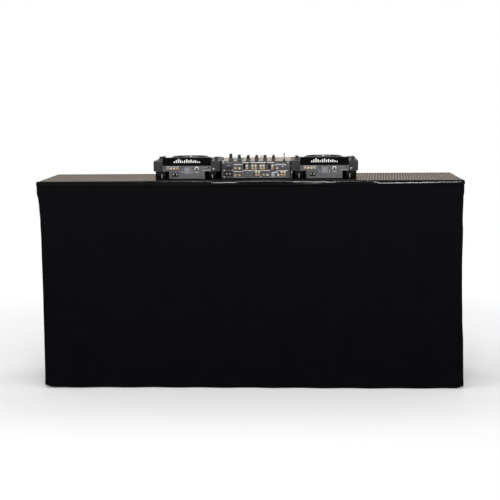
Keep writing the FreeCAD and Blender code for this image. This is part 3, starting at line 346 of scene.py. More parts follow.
def edge_gloss():
    """Soft black edge moulding, polished, with the slight waves of a pushed-on strip."""
    material, tree, shader = bare_material("edge_gloss", Specular_IOR_Level=0.07)
    life = surface(tree, 240.0, 11.0)
    worn(tree, shader, rgb(0.0015, 0.0015, 0.0016), 0.075, life, 0.2, 0.004, 0.0)
    wave = noisy(tree, Vector=object_spot(tree), Scale=90.0, Detail=2.0)
    bumped(tree, shader, raised_by(tree, life["Grain"], 0.06, wave), 0.05, 0.0002)
    return material


def skirt_fabric(colour, hem_line):
    """Black woven cloth, darker towards the hem by painted shade, with a row of hem stitches at a height on
    its own UV map.
    """
    stitch_pitch = 0.0045
    material, tree, shader = bare_material(
        "skirt_fabric", Sheen_Weight=0.006, Sheen_Roughness=0.6, Specular_IOR_Level=0.006)
    weave = placed_effect(tree, FABRIC_WEAVE, Thread_Pitch=0.0012)
    spot = add(tree, "ShaderNodeUVMap").outputs["UV"]
    flat = axes(tree, spot)
    along = maths(tree, "FRACT", maths(tree, "DIVIDE", flat["X"], stitch_pitch))
    dash = ranged(tree, apart(tree, along, 0.5), 0.28, 0.34, 1.0, 0.0)
    row = ranged(tree, apart(tree, flat["Y"], hem_line), 0.0006, 0.001, 1.0, 0.0)
    stitch = times(tree, dash, row)
    # Painted shade: the cloth's colour darkens towards the hem, where less light falls.
    painted_shade_low = blended(tree, ranged(tree, flat["Y"], 0.0, 0.95), lighter(colour, 0.52), colour)
    rumple = noisy(tree, Vector=spot, Scale=9.0, Detail=4.0, Roughness=0.6, Distortion=0.6)
    rumpled = ranged(tree, rumple, 0.35, 0.65, 0.0, 0.3)
    creased = blended(tree, rumpled, painted_shade_low, lighter(colour, 1.25))
    slubbed = ranged(tree, weave["Tone"], 0.3, 0.7, 0.0, 0.25)
    cloth = blended(tree, slubbed, creased, lighter(colour, 1.4))
    thread = blended(tree, stitch, cloth, lighter(colour, 2.0))
    lint = ranged(tree, noisy(tree, Vector=spot, Scale=330.0, Detail=2.0), 0.74, 0.8, 0.0, 0.25)
    feed(tree, blended(tree, lint, thread, lighter(colour, 5.0)), shader.inputs["Base Color"])
    feed(tree, ranged(tree, weave["Tone"], 0.3, 0.7, 0.84, 0.96), shader.inputs["Roughness"])
    bumped(tree, shader, raised_by(tree, stitch, 1.5, weave["Height"]), 0.35, 0.0004)
    return material


def player_place(tree):
    """Across from the middle of the nearer player, and along: the two stand evenly about the mixer."""
    spot = axes(tree, object_spot(tree))
    off = apart(tree, spot["X"], PLAYERS_BETWEEN)
    return maths(tree, "SUBTRACT", off, PLAYERS_APART), spot["Y"]


def jog_finish():
    """Satin platter with fine rings, pale pips on a brighter rim whose brown tint is partly a painted
    highlight, and a sloping side with ribs and painted shade between them.
    """
    groove_pitch, pips, rib_count, pip_ring = 0.0011, 40, 120, 0.0775
    material, tree, shader = bare_material("jog_finish")
    calm_edges(tree, shader, 0.08)
    across, along = player_place(tree)
    back = maths(tree, "SUBTRACT", along, JOG_MIDDLE_Y)
    squares = [maths(tree, "POWER", way, 2.0) for way in (across, back)]
    far = maths(tree, "SQRT", maths(tree, "ADD", *squares))
    angle = maths(tree, "ARCTAN2", back, across)
    life = surface(tree, 1100.0, 16.0)
    groove = waves(tree, far, groove_pitch)
    side = ranged(tree, far, 0.0820, 0.0830)
    inside = ranged(tree, far, 0.0820, 0.0830, 1.0, 0.0)
    rim = times(tree, ranged(tree, far, 0.0715, 0.0730), inside)
    turn = maths(tree, "FRACT", raised_by(tree, angle, pips / FULL_TURN, 0.5))
    round_pip = ranged(tree, apart(tree, turn, 0.5), 0.14, 0.20, 1.0, 0.0)
    on_ring = ranged(tree, apart(tree, far, pip_ring), 0.0018, 0.0026, 1.0, 0.0)
    pip = times(tree, round_pip, on_ring)
    deck = blended(tree, life["Patch"], rgb(0.011, 0.011, 0.012), rgb(0.016, 0.016, 0.017))
    ribs = waves(tree, angle, FULL_TURN / rib_count)
    # Painted shade: the side is coloured darker in the grooves between its ribs and lighter on their ridges.
    ribs_with_painted_shade = blended(tree, ranged(tree, ribs, -0.2, 0.6), rgb(0.004, 0.004, 0.004), rgb(0.015, 0.013, 0.012))
    # The rim is a lighter ring of its own, and its brown tint is partly a painted highlight.
    edge = blended(tree, side, blended(tree, rim, deck, rgb(0.032, 0.029, 0.026)), ribs_with_painted_shade)
    dotted = blended(tree, pip, edge, rgb(0.30, 0.29, 0.28))
    scuffed = blended(tree, times(tree, life["Scuff"], 0.05), dotted, rgb(0.3, 0.3, 0.3))
    feed(tree, scuffed, shader.inputs["Base Color"])
    feed(tree, raised_by(tree, rim, -0.10, 0.38), shader.inputs["Roughness"])
    platter = maths(tree, "SUBTRACT", maths(tree, "SUBTRACT", 1.0, rim), side)
    ringed = raised_by(tree, ribs, times(tree, side, 2.0), times(tree, groove, platter))
    bumped(tree, shader, raised_by(tree, life["Grain"], 0.2, ringed), 0.12, 0.0002)
    return material


def screen_picture():
    """A lit player screen with a plain waveform, a marker and list lines."""
    screen_middle, bar_pitch, row_pitch = -0.093, 0.0012, 0.0062
    one_way = {"noise_dimensions": "1D"}
    material, tree, shader = bare_material("screen_picture", Roughness=0.12, Emission_Strength=1.0)
    across, along = player_place(tree)
    back = maths(tree, "SUBTRACT", along, screen_middle)
    bar = maths(tree, "SNAP", across, bar_pitch)
    beat = noisy(tree, one_way, W=bar, Scale=260.0, Detail=3.0)
    swell = noisy(tree, one_way, W=bar, Scale=38.0, Detail=1.0)
    tall = times(tree, ranged(tree, beat, 0.25, 0.8), ranged(tree, swell, 0.3, 0.7))
    from_line = apart(tree, back, 0.010)
    wave = maths(tree, "LESS_THAN", from_line, raised_by(tree, tall, 0.014, 0.001))
    in_bar = maths(tree, "FRACT", maths(tree, "DIVIDE", across, bar_pitch))
    shown = times(tree, wave, maths(tree, "GREATER_THAN", in_bar, 0.25))
    tint = blended(tree, ranged(tree, tall, 0.2, 0.8), rgb(0.05, 0.22, 0.75), rgb(0.75, 0.82, 0.95))
    picture = blended(tree, shown, rgb(0.004, 0.005, 0.009), tint)
    row = maths(tree, "FRACT", maths(tree, "DIVIDE", back, row_pitch))
    row_width = noisy(tree, one_way, W=maths(tree, "SNAP", back, row_pitch), Scale=900.0, Detail=0.0)
    line_end = raised_by(tree, row_width, 0.09, -0.045)
    listing = maths(tree, "LESS_THAN", apart(tree, row, 0.5), 0.16)
    for operation, place, limit in (("LESS_THAN", across, line_end), ("LESS_THAN", back, -0.008),
                                    ("GREATER_THAN", across, -0.064), ("GREATER_THAN", back, -0.030)):
        listing = times(tree, listing, maths(tree, operation, place, limit))
    listed = blended(tree, listing, picture, rgb(0.32, 0.36, 0.42))
    on_marker = times(tree, maths(tree, "LESS_THAN", maths(tree, "ABSOLUTE", across), 0.0006),
                      maths(tree, "LESS_THAN", from_line, 0.017))
    marked = blended(tree, on_marker, listed, rgb(0.9, 0.12, 0.06))
    feed(tree, marked, shader.inputs["Emission Color"])
    feed(tree, blended(tree, 0.9, marked, rgb(0.006, 0.006, 0.008)), shader.inputs["Base Color"])
    return material


def light_finish(name, colour, strength):
    """A small lamp under a tinted lens, faintly uneven."""
    material, tree, shader = bare_material(
        name, Roughness=0.3, Specular_IOR_Level=0.1, Emission_Color=colour, Emission_Strength=strength)
    uneven = times(tree, surface(tree, 900.0, 30.0)["Patch"], 0.15)
    feed(tree, blended(tree, uneven, colour, rgb(0.02, 0.02, 0.02)), shader.inputs["Base Color"])
    return material


def beside_mixer(tree, spot):
    """One to both sides of the mixer, and nought across its width."""
    return maths(tree, "GREATER_THAN", apart(tree, spot["X"], MIXER_MIDDLE), MIXER_WIDTH / 2)


def screw_finish():
    """Bright screws in the mixer, and blackened ones in the players."""
    material, tree, shader = bare_material("screw_metal", Metallic=0.8, Roughness=0.3)
    in_player = beside_mixer(tree, axes(tree, object_spot(tree)))
    life = surface(tree, 500.0, 60.0)
    bright = blended(tree, life["Patch"], rgb(0.62, 0.62, 0.60), rgb(0.78, 0.78, 0.76))
    feed(tree, blended(tree, in_player, bright, rgb(0.012, 0.012, 0.012)), shader.inputs["Base Color"])
    return material


def inlet_finish():
    """Inlets with a grey flange in the players and a black one in the mixer, and painted shade that makes
    them black inside.
    """
    material, tree, shader = bare_material("inlet_plastic", Specular_IOR_Level=0.1)
    spot = axes(tree, object_spot(tree))
    # Painted shade: behind the flange's face the players' inlets are coloured black, for the shade in their
    # recesses.
    proud = maths(tree, "LESS_THAN", spot["Y"], PANEL_FACE - 0.0004)
    grey = times(tree, beside_mixer(tree, spot), proud)
    life = surface(tree, 1000.0)
    colour = blended(tree, grey, rgb(0.010, 0.010, 0.010), rgb(0.085, 0.084, 0.088))
    shade = blended(tree, life["Patch"], colour, blended(tree, 0.1, colour, rgb(0.2, 0.2, 0.2)))
    feed(tree, shade, shader.inputs["Base Color"])
    feed(tree, raised_by(tree, life["Patch"], 0.1, 0.38), shader.inputs["Roughness"])
    bumped(tree, shader, life["Grain"], 0.2, GRAIN_DEPTH)
    return material


def window_gloss():
    """The clear black window over a jog hub."""
    material, tree, shader = bare_material("window_gloss", Roughness=0.06)
    calm_edges(tree, shader, 0.12)
    life = surface(tree, 300.0, 9.0)
    shade = blended(tree, life["Dust"], rgb(0.002, 0.002, 0.0022), rgb(0.006, 0.006, 0.006))
    feed(tree, shade, shader.inputs["Base Color"])
    return material


def circuit_finish():
    """Green laminate with a faint pattern of tracks."""
    material, tree, shader = bare_material("circuit_finish", Roughness=0.4)
    track = add(tree, "ShaderNodeTexBrick", Vector=object_spot(tree), Scale=90.0,
                Color1=rgb(0.01, 0.09, 0.03), Color2=rgb(0.012, 0.11, 0.04), Mortar=rgb(0.03, 0.18, 0.06))
    feed(tree, track.outputs["Color"], shader.inputs["Base Color"])
    bumped(tree, shader, track.outputs["Fac"], 0.2, 0.0001)
    return material


# Finishes by the record's material slots

CLOTH_BLACK = rgb(0.0031, 0.0029, 0.0038)
HEM_HEIGHT = 0.045

FINISHES = {
    "phenolic_plywood": phenolic_film(),
    "black_frame_paint": plain_finish("frame_paint", rgb(0.012, 0.012, 0.013), 0.5, 420.0, 0.5, scuff=0.25),
    "leg_aluminium": brushed_finish("leg_metal", rgb(0.60, 0.60, 0.61), 0.32, (900.0, 900.0, 5.0)),
    "cap_rubber": plain_finish("cap_rubber", rgb(0.010, 0.010, 0.010), 0.75, 600.0, 0.4, dust=0.3),
    "clamp_plastic": plain_finish("clamp_plastic", rgb(0.010, 0.010, 0.011), 0.42, 1200.0, 0.25),
    "edge_plastic": edge_gloss(),
    "skirt_cloth": skirt_fabric(CLOTH_BLACK, HEM_HEIGHT),
    "tape_fabric": plain_finish("tape_fabric", rgb(0.007, 0.007, 0.008), 0.95, 1400.0, 1.0, dust=0.0),
    "case_steel": plain_finish("tub_paint", rgb(0.016, 0.016, 0.017), 0.5, 800.0, 0.35),
    "case_plastic": warm_finish(
        "case_plastic", rgb(0.038, 0.038, 0.039), 0.46, 1300.0, 0.35, 0.10, 0.04, gloss=0.04, glaze=0.5),
    "panel_paint": plain_finish("panel_paint", rgb(0.108, 0.106, 0.112), 0.45, 1000.0, 0.25, scuff=0.25),
    "hood_plastic": plain_finish("hood_gloss", rgb(0.002, 0.002, 0.0022), 0.14, 300.0, 0.03, scuff=0.02,
                                 dust=0.02, gloss=0.03, calm=True),
    "screen_plastic": screen_picture(),
    "hub_plastic": plain_finish("hub_plastic", rgb(0.012, 0.012, 0.013), 0.25, 900.0, 0.1, calm=True),
    "foot_rubber": plain_finish("foot_rubber", rgb(0.002, 0.002, 0.0022), 0.07, 700.0, 0.01, scuff=0.02,
                                dust=0.03),
    "drive_plastic": plain_finish("drive_plastic", rgb(0.03, 0.03, 0.03), 0.5),
    "circuit_laminate": circuit_finish(),
    "supply_aluminium": brushed_finish("supply_metal", rgb(0.62, 0.62, 0.62), 0.35, (900.0, 6.0, 900.0)),
    "mixer_paint": plain_finish("mixer_paint", rgb(0.030, 0.030, 0.032), 0.45, 700.0, 0.35, scuff=0.10),
    "mixer_plate_paint": warm_finish(
        "mixer_plate_paint", rgb(0.046, 0.044, 0.044), 0.24, 900.0, 0.1, 0.15, 0.05, gloss=0.0, glaze=0.95),
    "socket_brass": brushed_finish("socket_metal", rgb(0.34, 0.29, 0.21), 0.44, (700.0, 700.0, 700.0)),
    "inlet_plastic": inlet_finish(),
    "screw_steel": screw_finish(),
    "pot_plastic": plain_finish("pot_plastic", rgb(0.02, 0.02, 0.02), 0.5),
    "key_rubber": plain_finish("key_rubber", rgb(0.10, 0.10, 0.105), 0.62, 900.0, 0.2),
    "jog_plastic": jog_finish(),
    "knob_plastic": plain_finish("knob_rubber", rgb(0.014, 0.014, 0.015), 0.48, 1500.0, 0.3, scuff=0.1),
    "button_plastic": plain_finish("button_plastic", rgb(0.055, 0.055, 0.057), 0.35, 900.0, 0.1),
    "lever_chrome": brushed_finish("lever_metal", rgb(0.20, 0.18, 0.17), 0.25, (600.0, 600.0, 60.0)),
}
MARK_WHITE = plain_finish("mark_white", rgb(0.72, 0.71, 0.69), 0.5, 900.0, 0.1, 0.06, 0.05, 0.05)
MARK_GREY = plain_finish("mark_grey", rgb(0.28, 0.28, 0.29), 0.5, 900.0, 0.1, 0.06, 0.05, 0.05)
PLATE_PALE = plain_finish("plate_pale", rgb(0.33, 0.33, 0.345), 0.4, 700.0, 0.15)
COLLAR_WHITE = plain_finish("collar_white", rgb(0.72, 0.69, 0.58), 0.4, 900.0, 0.1, 0.1, 0.0, 0.1)
COLLAR_RED = plain_finish("collar_red", rgb(0.36, 0.12, 0.07), 0.4, 900.0, 0.1, 0.1, 0.0, 0.1)
COLLAR_ORANGE = plain_finish("collar_orange", rgb(0.45, 0.22, 0.08), 0.4, 900.0, 0.1, 0.1, 0.0, 0.1)
PRONG_BRIGHT = plain_finish("prong_metal", rgb(0.88, 0.87, 0.85), 0.3, 500.0, 0.1, gloss=0.4)
FADER_SILVER = plain_finish("fader_silver", rgb(0.62, 0.61, 0.60), 0.4, 900.0, 0.15)
LABEL_GREY = plain_finish("label_grey", rgb(0.185, 0.185, 0.192), 0.4, 700.0, 0.15)
SOCKET_GREY = plain_finish("socket_grey", rgb(0.050, 0.050, 0.053), 0.4, 900.0, 0.2)
KNOB_BASE = plain_finish("knob_base", rgb(0.070, 0.064, 0.060), 0.45, 1200.0, 0.2)
HUB_WINDOW = window_gloss()
# Near-black for black fittings and printed lines, and painted shade for the holes, slots and mouths that are
# drawn as flat dark pieces.
BLACK_AND_HOLE_SHADE = plain_finish("black_and_hole_shade", rgb(0.004, 0.004, 0.004), 0.6)
PLAY_GREEN = light_finish("play_green", rgb(0.03, 0.42, 0.08), 0.4)
CUE_AMBER = light_finish("cue_amber", rgb(0.50, 0.18, 0.02), 0.4)
HUB_WHITE = light_finish("hub_white", rgb(0.62, 0.65, 0.68), 0.5)
METER_GREEN = light_finish("meter_green", rgb(0.03, 0.20, 0.05), 0.15)
METER_AMBER = light_finish("meter_amber", rgb(0.28, 0.12, 0.02), 0.15)
METER_RED = light_finish("meter_red", rgb(0.22, 0.02, 0.015), 0.1)
MIXER_PANEL_PAINT = plain_finish(
    "mixer_panel_paint", rgb(0.058, 0.058, 0.061), 0.45, 1000.0, 0.25, scuff=0.25)

for row in frame["record"]["subparts"]:
    nodes[row["node"]].material_slots[0].material = FINISHES[row["material_slot"]]
nodes["mixer_rear_panel"].material_slots[0].material = MIXER_PANEL_PAINT
nodes["xlr_sockets"].material_slots[0].material = SOCKET_GREY
for fader in ["crossfader"] + [f"channel_fader_{channel}" for channel in range(1, 5)]:
    nodes[fader].material_slots[0].material = FADER_SILVER


# Shaping meshes

FACE_AUDIENCE = Matrix.Rotation(HALF_TURN / 2, 4, "X")
FACE_DJ = Matrix.Rotation(-HALF_TURN / 2, 4, "X")
INK = 0.00012
MILLIMETRE = 0.001


def at(x, y, z, turn=Matrix.Identity(4)):
    return Matrix.Translation((x, y, z)) @ turn


def on_panel(spots):
    """Places across and up on the rear panels, facing the audience."""
    return [at(x, PANEL_FACE, z, FACE_AUDIENCE) for x, z in spots]


def on_players(across, y, z, turn=Matrix.Identity(4)):
    """The same place on both players."""
    return [at(middle + across, y, z, turn) for middle in PLAYER_MIDDLES.values()]


def ring(inner, outer, low, top):
    """The profile of a flat ring, or of a disc where nothing is open inside."""
    return (inner, low), (outer, low), (outer, top), (inner, top)


def chamfered_ring(inner, outer, face, low, shoulder, top):
    """The same with a chamfer from the shoulder to the face."""
    return (inner, low), (outer, low), (outer, shoulder), (face, top), (inner, top)


def box_into(form, low, high):
    """Adds a flat-sided block between two corners to a form, and gives its vertices."""
    made = bmesh.ops.create_cube(form, size=1.0)["verts"]
    low, high = Vector(low), Vector(high)
    bmesh.ops.scale(form, vec=high - low, verts=made)
    bmesh.ops.translate(form, vec=(low + high) / 2, verts=made)
    return made


def soft_box_into(form, low, high, radius, segments=2):
    """The same block with rounded edges."""
    made = box_into(form, low, high)
    edges = list({edge for spot in made for edge in spot.link_edges})
    bmesh.ops.bevel(form, geom=edges, offset=radius, segments=segments, profile=0.5, affect="EDGES",
                    material=-1)


def print_into(form, left, right, near, far, level):
    """Adds a printed mark on a level surface."""
    return box_into(form, (left, near, level), (right, far, level + INK))


def sink_face(form, way, border, depth):
    """Sinks the largest face that looks a way, inside a border."""
    way = Vector(way)
    face = max(form.faces, key=lambda side: side.calc_area() * (side.normal.dot(way) > 0.9))
    bmesh.ops.inset_individual(form, faces=[face], thickness=border)
    bmesh.ops.translate(form, vec=way * -depth, verts=face.verts)


def spun_into(form, profile, closed, steps):
    """Turns a profile of radius and height pairs round the form's own upright axis."""
    before = set(form.verts)
    spots = [form.verts.new((radius, 0.0, height)) for radius, height in profile]
    runs = [form.edges.new(pair) for pair in zip(spots, spots[1:])]
    if closed:
        runs.append(form.edges.new((spots[-1], spots[0])))
    bmesh.ops.spin(form, geom=spots + runs, axis=(0, 0, 1), cent=(0, 0, 0), angle=FULL_TURN, steps=steps,
                   use_merge=True)
    made = [spot for spot in form.verts if spot not in before]
    bmesh.ops.remove_doubles(form, verts=made, dist=1e-7)
    return [spot for spot in form.verts if spot not in before]


def turned(profile, closed=False, steps=24):
    form = bmesh.new()
    spun_into(form, profile, closed, steps)
    return form


def flat_frame(width, height, border, thickness):
    """A flat rectangular frame, facing up at the origin."""
    form = bmesh.new()
    sheet = bmesh.ops.create_grid(form, x_segments=1, y_segments=1, size=0.5)["verts"]
    bmesh.ops.scale(form, vec=(width, height, 1.0), verts=sheet)
    whole = form.faces[:]
    bmesh.ops.inset_individual(form, faces=whole, thickness=border, use_even_offset=True)
    bmesh.ops.delete(form, geom=whole, context="FACES_ONLY")
    bmesh.ops.solidify(form, geom=form.faces[:], thickness=-thickness)
    return form


def repeated(form, places):
    """Copies a small form to many places."""
    pattern = bpy.data.meshes.new("pattern")
    form.to_mesh(pattern)
    form.free()
    many = bmesh.new()
    for place in places:
        start = len(many.verts)
        many.from_mesh(pattern)
        many.verts.ensure_lookup_table()
        bmesh.ops.transform(many, matrix=place, verts=many.verts[start:])
    bpy.data.meshes.remove(pattern)
    return many


def piece(name, form, *materials, body="booth", smooth=35):
    """Keeps a finished form as a named piece that rides on a body."""
    bmesh.ops.recalc_face_normals(form, faces=form.faces)
    mesh = bpy.data.meshes.new(name)
    form.to_mesh(mesh)
    form.free()
    for material in materials:
        mesh.materials.append(material)
    mesh.shade_smooth()
    mesh.set_sharp_from_angle(angle=math.radians(smooth))
    thing = bpy.data.objects.new(name, mesh)
    scene.collection.objects.link(thing)
    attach(thing, body)
    return thing


# The cloth skirt

SKIRT_HALF_WIDTH = 0.9965
SKIRT_FRONT = 0.2965
SKIRT_BACK = 0.2920
SKIRT_TOP = 0.9600
SKIRT_HEM = 0.0020
SKIRT_GRIP = 0.9270
SKIRT_SIDE = SKIRT_FRONT + SKIRT_BACK
SKIRT_WIDTH = 2 * SKIRT_HALF_WIDTH
CLOTH_THICKNESS = 0.0014
FOLD_PITCH = 0.2325
FOLD_DEPTH = 0.004
DRIFT_DEPTH = 0.007
RIPPLE_DEPTH = 0.0012
HEM_DEPTH = 0.0008
CORNER_LIFT = 0.012
CORNER_LIFT_REACH = 0.022
CORNER_CALM_REACH = 0.05
LEFT_HEM_LIFT = 0.003
FOOT_KICK = 0.018
FRONT_TUCK = 0.003
KICK_HEIGHT = 0.55
GRIP_FADE = 0.05
LOOSE_DROP = 0.5
LEFT_LIFT_HEIGHT = 0.08
CORNER_LIFT_HEIGHT = 0.05
CORNER_CALM_SHARE = 0.85
HEM_FADE = 0.004

# How far each side of the cloth falls in under its header band: height and distance, from the band down
LEFT_FALL = ((0.930, 0.000), (0.900, 0.006), (0.870, 0.009), (0.800, 0.013), (0.700, 0.0155), (0.420, 0.0180),
             (0.000, 0.0190))
RIGHT_FALL = ((0.930, 0.000), (0.905, 0.003), (0.800, 0.0055), (0.740, 0.0035), (0.600, 0.006),
              (0.510, 0.0055), (0.320, 0.003), (0.220, -0.001), (0.000, -0.003))

# Creases of the cloth on its front: start and end across and up, depth, and half width
CREASES = (
    ((-0.742, 0.80), (-0.745, 0.47), 0.0048, 0.012),
    ((0.708, 0.93), (0.704, 0.42), 0.0052, 0.011),
    ((0.560, 0.460), (0.820, 0.665), 0.0048, 0.012),
    ((0.100, 0.43), (0.090, 0.17), 0.0042, 0.012),
    ((-0.380, 0.110), (-0.090, 0.235), 0.0042, 0.014),
    ((-0.330, 0.90), (-0.325, 0.52), 0.0030, 0.014),
    ((0.360, 0.88), (0.362, 0.60), 0.0030, 0.014),
    ((-0.900, 0.30), (-0.650, 0.42), 0.0034, 0.014),
    ((0.300, 0.300), (0.520, 0.215), 0.0034, 0.014),
)


def clamped(share):
    return max(0.0, min(1.0, share))


def eased(share):
    share = clamped(share)
    return share * share * (3 - 2 * share)


def crease_depth(across, up):
    """How far the creases of the front push the cloth out at a place."""
    total = 0.0
    for (x0, z0), (x1, z1), depth, width in CREASES:
        run = Vector((x1 - x0, z1 - z0))
        off = Vector((across - x0, up - z0))
        share = off.dot(run) / run.length_squared
        beside = abs(off.x * run.y - off.y * run.x) / run.length
        fade = eased((share + 0.15) / 0.3) * eased((1.15 - share) / 0.3)
        total += depth * fade * math.exp(-(beside / width) ** 2)
    return total


def fallen(falls, up):
    """The distance in a table of heights and distances, eased between its rows."""
    for (above, first), (below, second) in zip(falls, falls[1:]):
        if up >= below:
            return first + (second - first) * eased((above - up) / (above - below))
    return falls[-1][1]


def skirt_place(along, up):
    """A place on the hanging cloth and the way out of it: left side, front, then right side."""
    left = -SKIRT_HALF_WIDTH + fallen(LEFT_FALL, up)
    right = SKIRT_HALF_WIDTH - fallen(RIGHT_FALL, up)
    past = along - SKIRT_SIDE
    share = clamped(past / SKIRT_WIDTH)
    kick = FRONT_TUCK - FOOT_KICK * eased(share * 1.1 - 0.05) * eased((KICK_HEIGHT - up) / KICK_HEIGHT)
    y = -SKIRT_FRONT + kick * eased((SKIRT_GRIP - up) / GRIP_FADE)
    if along < SKIRT_SIDE:
        return Vector((left, SKIRT_BACK + (y - SKIRT_BACK) * along / SKIRT_SIDE, up)), Vector((-1, 0, 0))
    if along < SKIRT_SIDE + SKIRT_WIDTH:
        return Vector((left + (right - left) * share, y, up)), Vector((0, -1, 0))
    return Vector((right, y + (SKIRT_BACK - y) * (past - SKIRT_WIDTH) / SKIRT_SIDE, up)), Vector((1, 0, 0))


def skirt_cloth():
    """One cloth round three sides: a straight header band at the tape, soft waves and creases below."""
    length = 2 * SKIRT_SIDE + SKIRT_WIDTH
    height = SKIRT_TOP - SKIRT_HEM
    columns, rows = 340, 110
    form = bmesh.new()
    chart = form.loops.layers.uv.new("UVMap")
    bmesh.ops.create_grid(form, x_segments=columns, y_segments=rows, size=0.5, calc_uvs=True)
    for face in form.faces:
        for loop in face.loops:
            u, v = loop[chart].uv
            loop[chart].uv = (u * length, v * height)
    for spot in form.verts:
        along = (spot.co.x + 0.5) * length
        up = SKIRT_HEM + (spot.co.y + 0.5) * height
        loose = eased((SKIRT_GRIP - up) / LOOSE_DROP)
        low = eased((SKIRT_GRIP - up) / (SKIRT_GRIP - SKIRT_HEM))
        share = clamped((along - SKIRT_SIDE) / SKIRT_WIDTH)
        calm = 1.0
        lift = LEFT_HEM_LIFT * (1 - share) * eased((LEFT_LIFT_HEIGHT - up) / LEFT_LIFT_HEIGHT)
        for corner in (SKIRT_SIDE, SKIRT_SIDE + SKIRT_WIDTH):
            off = along - corner
            calm *= 1 - CORNER_CALM_SHARE * math.exp(-(off / CORNER_CALM_REACH) ** 2)
            near_floor = eased((CORNER_LIFT_HEIGHT - up) / CORNER_LIFT_HEIGHT)
            lift += CORNER_LIFT * math.exp(-(off / CORNER_LIFT_REACH) ** 2) * near_floor
        fold = math.sin(FULL_TURN * along / FOLD_PITCH + 0.5 * math.sin(up * 3.0))
        drift = noise.noise(Vector((along * 2.1, up * 0.9, 3.7)))
        small = noise.noise(Vector((along * 9.0, up * 3.5, 8.1)))
        out = calm * (FOLD_DEPTH * low * fold + DRIFT_DEPTH * loose * drift + RIPPLE_DEPTH * loose * small)
        if SKIRT_SIDE < along < SKIRT_SIDE + SKIRT_WIDTH:
            out += loose * crease_depth(along - SKIRT_SIDE - SKIRT_HALF_WIDTH, up)
        out += HEM_DEPTH * eased((SKIRT_HEM + HEM_HEIGHT - up) / HEM_FADE)
        place, way = skirt_place(along, up)
        spot.co = place + way * out + Vector((0, 0, lift))
    cloth = piece("skirt_cloth", form, FINISHES["skirt_cloth"], smooth=60)
    wall = cloth.modifiers.new("cloth_thickness", "SOLIDIFY")
    wall.thickness = CLOTH_THICKNESS
    wall.offset = 0.0
    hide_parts("skirt_panels")


# The table's edge

# How the soft moulding lies along its front: place across, tilt of its face, and lift of its upper edge
FRONT_ROLLS = (
    (-1.00, 0.02, 0.0028), (-0.58, 0.04, 0.0028), (-0.50, 0.14, 0.0030), (-0.44, 0.07, 0.0040),
    (-0.39, 0.055, 0.0046), (-0.20, 0.060, 0.0044), (-0.165, 0.195, 0.0032), (-0.07, 0.205, 0.0034),
    (-0.03, 0.170, 0.0064), (0.10, 0.165, 0.0076), (0.15, 0.180, 0.0070), (0.21, 0.235, 0.0066),
    (0.34, 0.235, 0.0058), (0.39, 0.200, 0.0036), (0.43, 0.11, 0.0028), (0.47, 0.04, 0.0028),
    (0.54, 0.04, 0.0028), (0.61, 0.252, 0.0024), (0.80, 0.228, 0.0024), (0.95, 0.207, 0.0024),
    (1.00, 0.17, 0.0024))


def rolled(x):
    for (start, *first), (end, *second) in zip(FRONT_ROLLS, FRONT_ROLLS[1:]):
        if x <= end:
            share = eased((x - start) / (end - start))
            return [before + (after - before) * share for before, after in zip(first, second)]
    return FRONT_ROLLS[-1][1:]


def edge_trim():
    """A soft moulding pushed over the board's edge: a domed face that rolls a little, and two lips."""
    low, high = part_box("edge_strip")
    corner, spacing, wall = 0.010, 0.009, 0.0010
    plain_roll, ripple_roll, quiver_roll, swell_height = 0.05, 0.008, 0.012, 0.0004
    round_edge, bulge, face_reach, lip_above, lip_below = 0.0042, 0.0004, 0.004, 0.0088, 0.0070
    half = (high.z - low.z) / 2
    middle = (low.z + high.z) / 2
    rim = [(lip_below, -half)]
    for turn in (0.0, 0.5, 1.0, HALF_TURN / 2 - 0.15):
        rim.append((round_edge - round_edge * math.sin(turn),
                    -half + round_edge - round_edge * math.cos(turn)))
    for share in (-0.8, -0.5, -0.2, 0.2, 0.5, 0.8):
        rim.append((-bulge * (1 - (share * share)), share * (half - round_edge)))
    rim += [(inward, -up) for inward, up in reversed(rim[1:5])] + [(lip_above, half)]
    outline = []
    for x_sign, y_sign, start in ((1, -1, -HALF_TURN / 2), (1, 1, 0.0), (-1, 1, HALF_TURN / 2),
                                  (-1, -1, HALF_TURN)):
        centre = Vector((x_sign * (high.x - corner), y_sign * (high.y - corner)))
        for step in range(5):
            turn = start + HALF_TURN * step / 8
            way = Vector((math.cos(turn), math.sin(turn)))
            outline.append((centre + way * corner, way))
    spaced = []
    for (place, way), (after, after_way) in zip(outline, outline[1:] + outline[:1]):
        parts = max(1, round((after - place).length / spacing))
        spaced += [(place.lerp(after, part / parts), way.lerp(after_way, part / parts).normalized())
                   for part in range(parts)]
    form = bmesh.new()
    rings = []
    for place, way in spaced:
        roll, lift = rolled(place.x) if way.y < -0.5 else (plain_roll, 0.0)
        lift *= max(0.0, -way.y)
        ripple = noise.noise(Vector((place.x * 8.0, place.y * 8.0, 1.3)))
        quiver = noise.noise(Vector((place.x * 34.0, place.y * 34.0, 5.1)))
        roll += ripple_roll * ripple + quiver_roll * quiver
        loop = []
        for inward, up in rim:
            swell = swell_height * quiver * (1 - (up / half) ** 2)
            reach = place - way * (inward + roll * up * (inward < face_reach) - swell)
            loop.append(form.verts.new((reach.x, reach.y, middle + up + lift * max(0.0, up / half))))
        rings.append(loop)
    for loop, after in zip(rings, rings[1:] + rings[:1]):
        for number in range(len(rim) - 1):
            form.faces.new((loop[number], after[number], after[number + 1], loop[number + 1]))
    bmesh.ops.recalc_face_normals(form, faces=form.faces)
    bmesh.ops.solidify(form, geom=form.faces[:], thickness=wall)
    trim = piece("edge_trim", form, FINISHES["edge_plastic"], smooth=50)
    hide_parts("edge_strip")


# Rear panels: places as shares of a panel's width, and of its height on the mixer

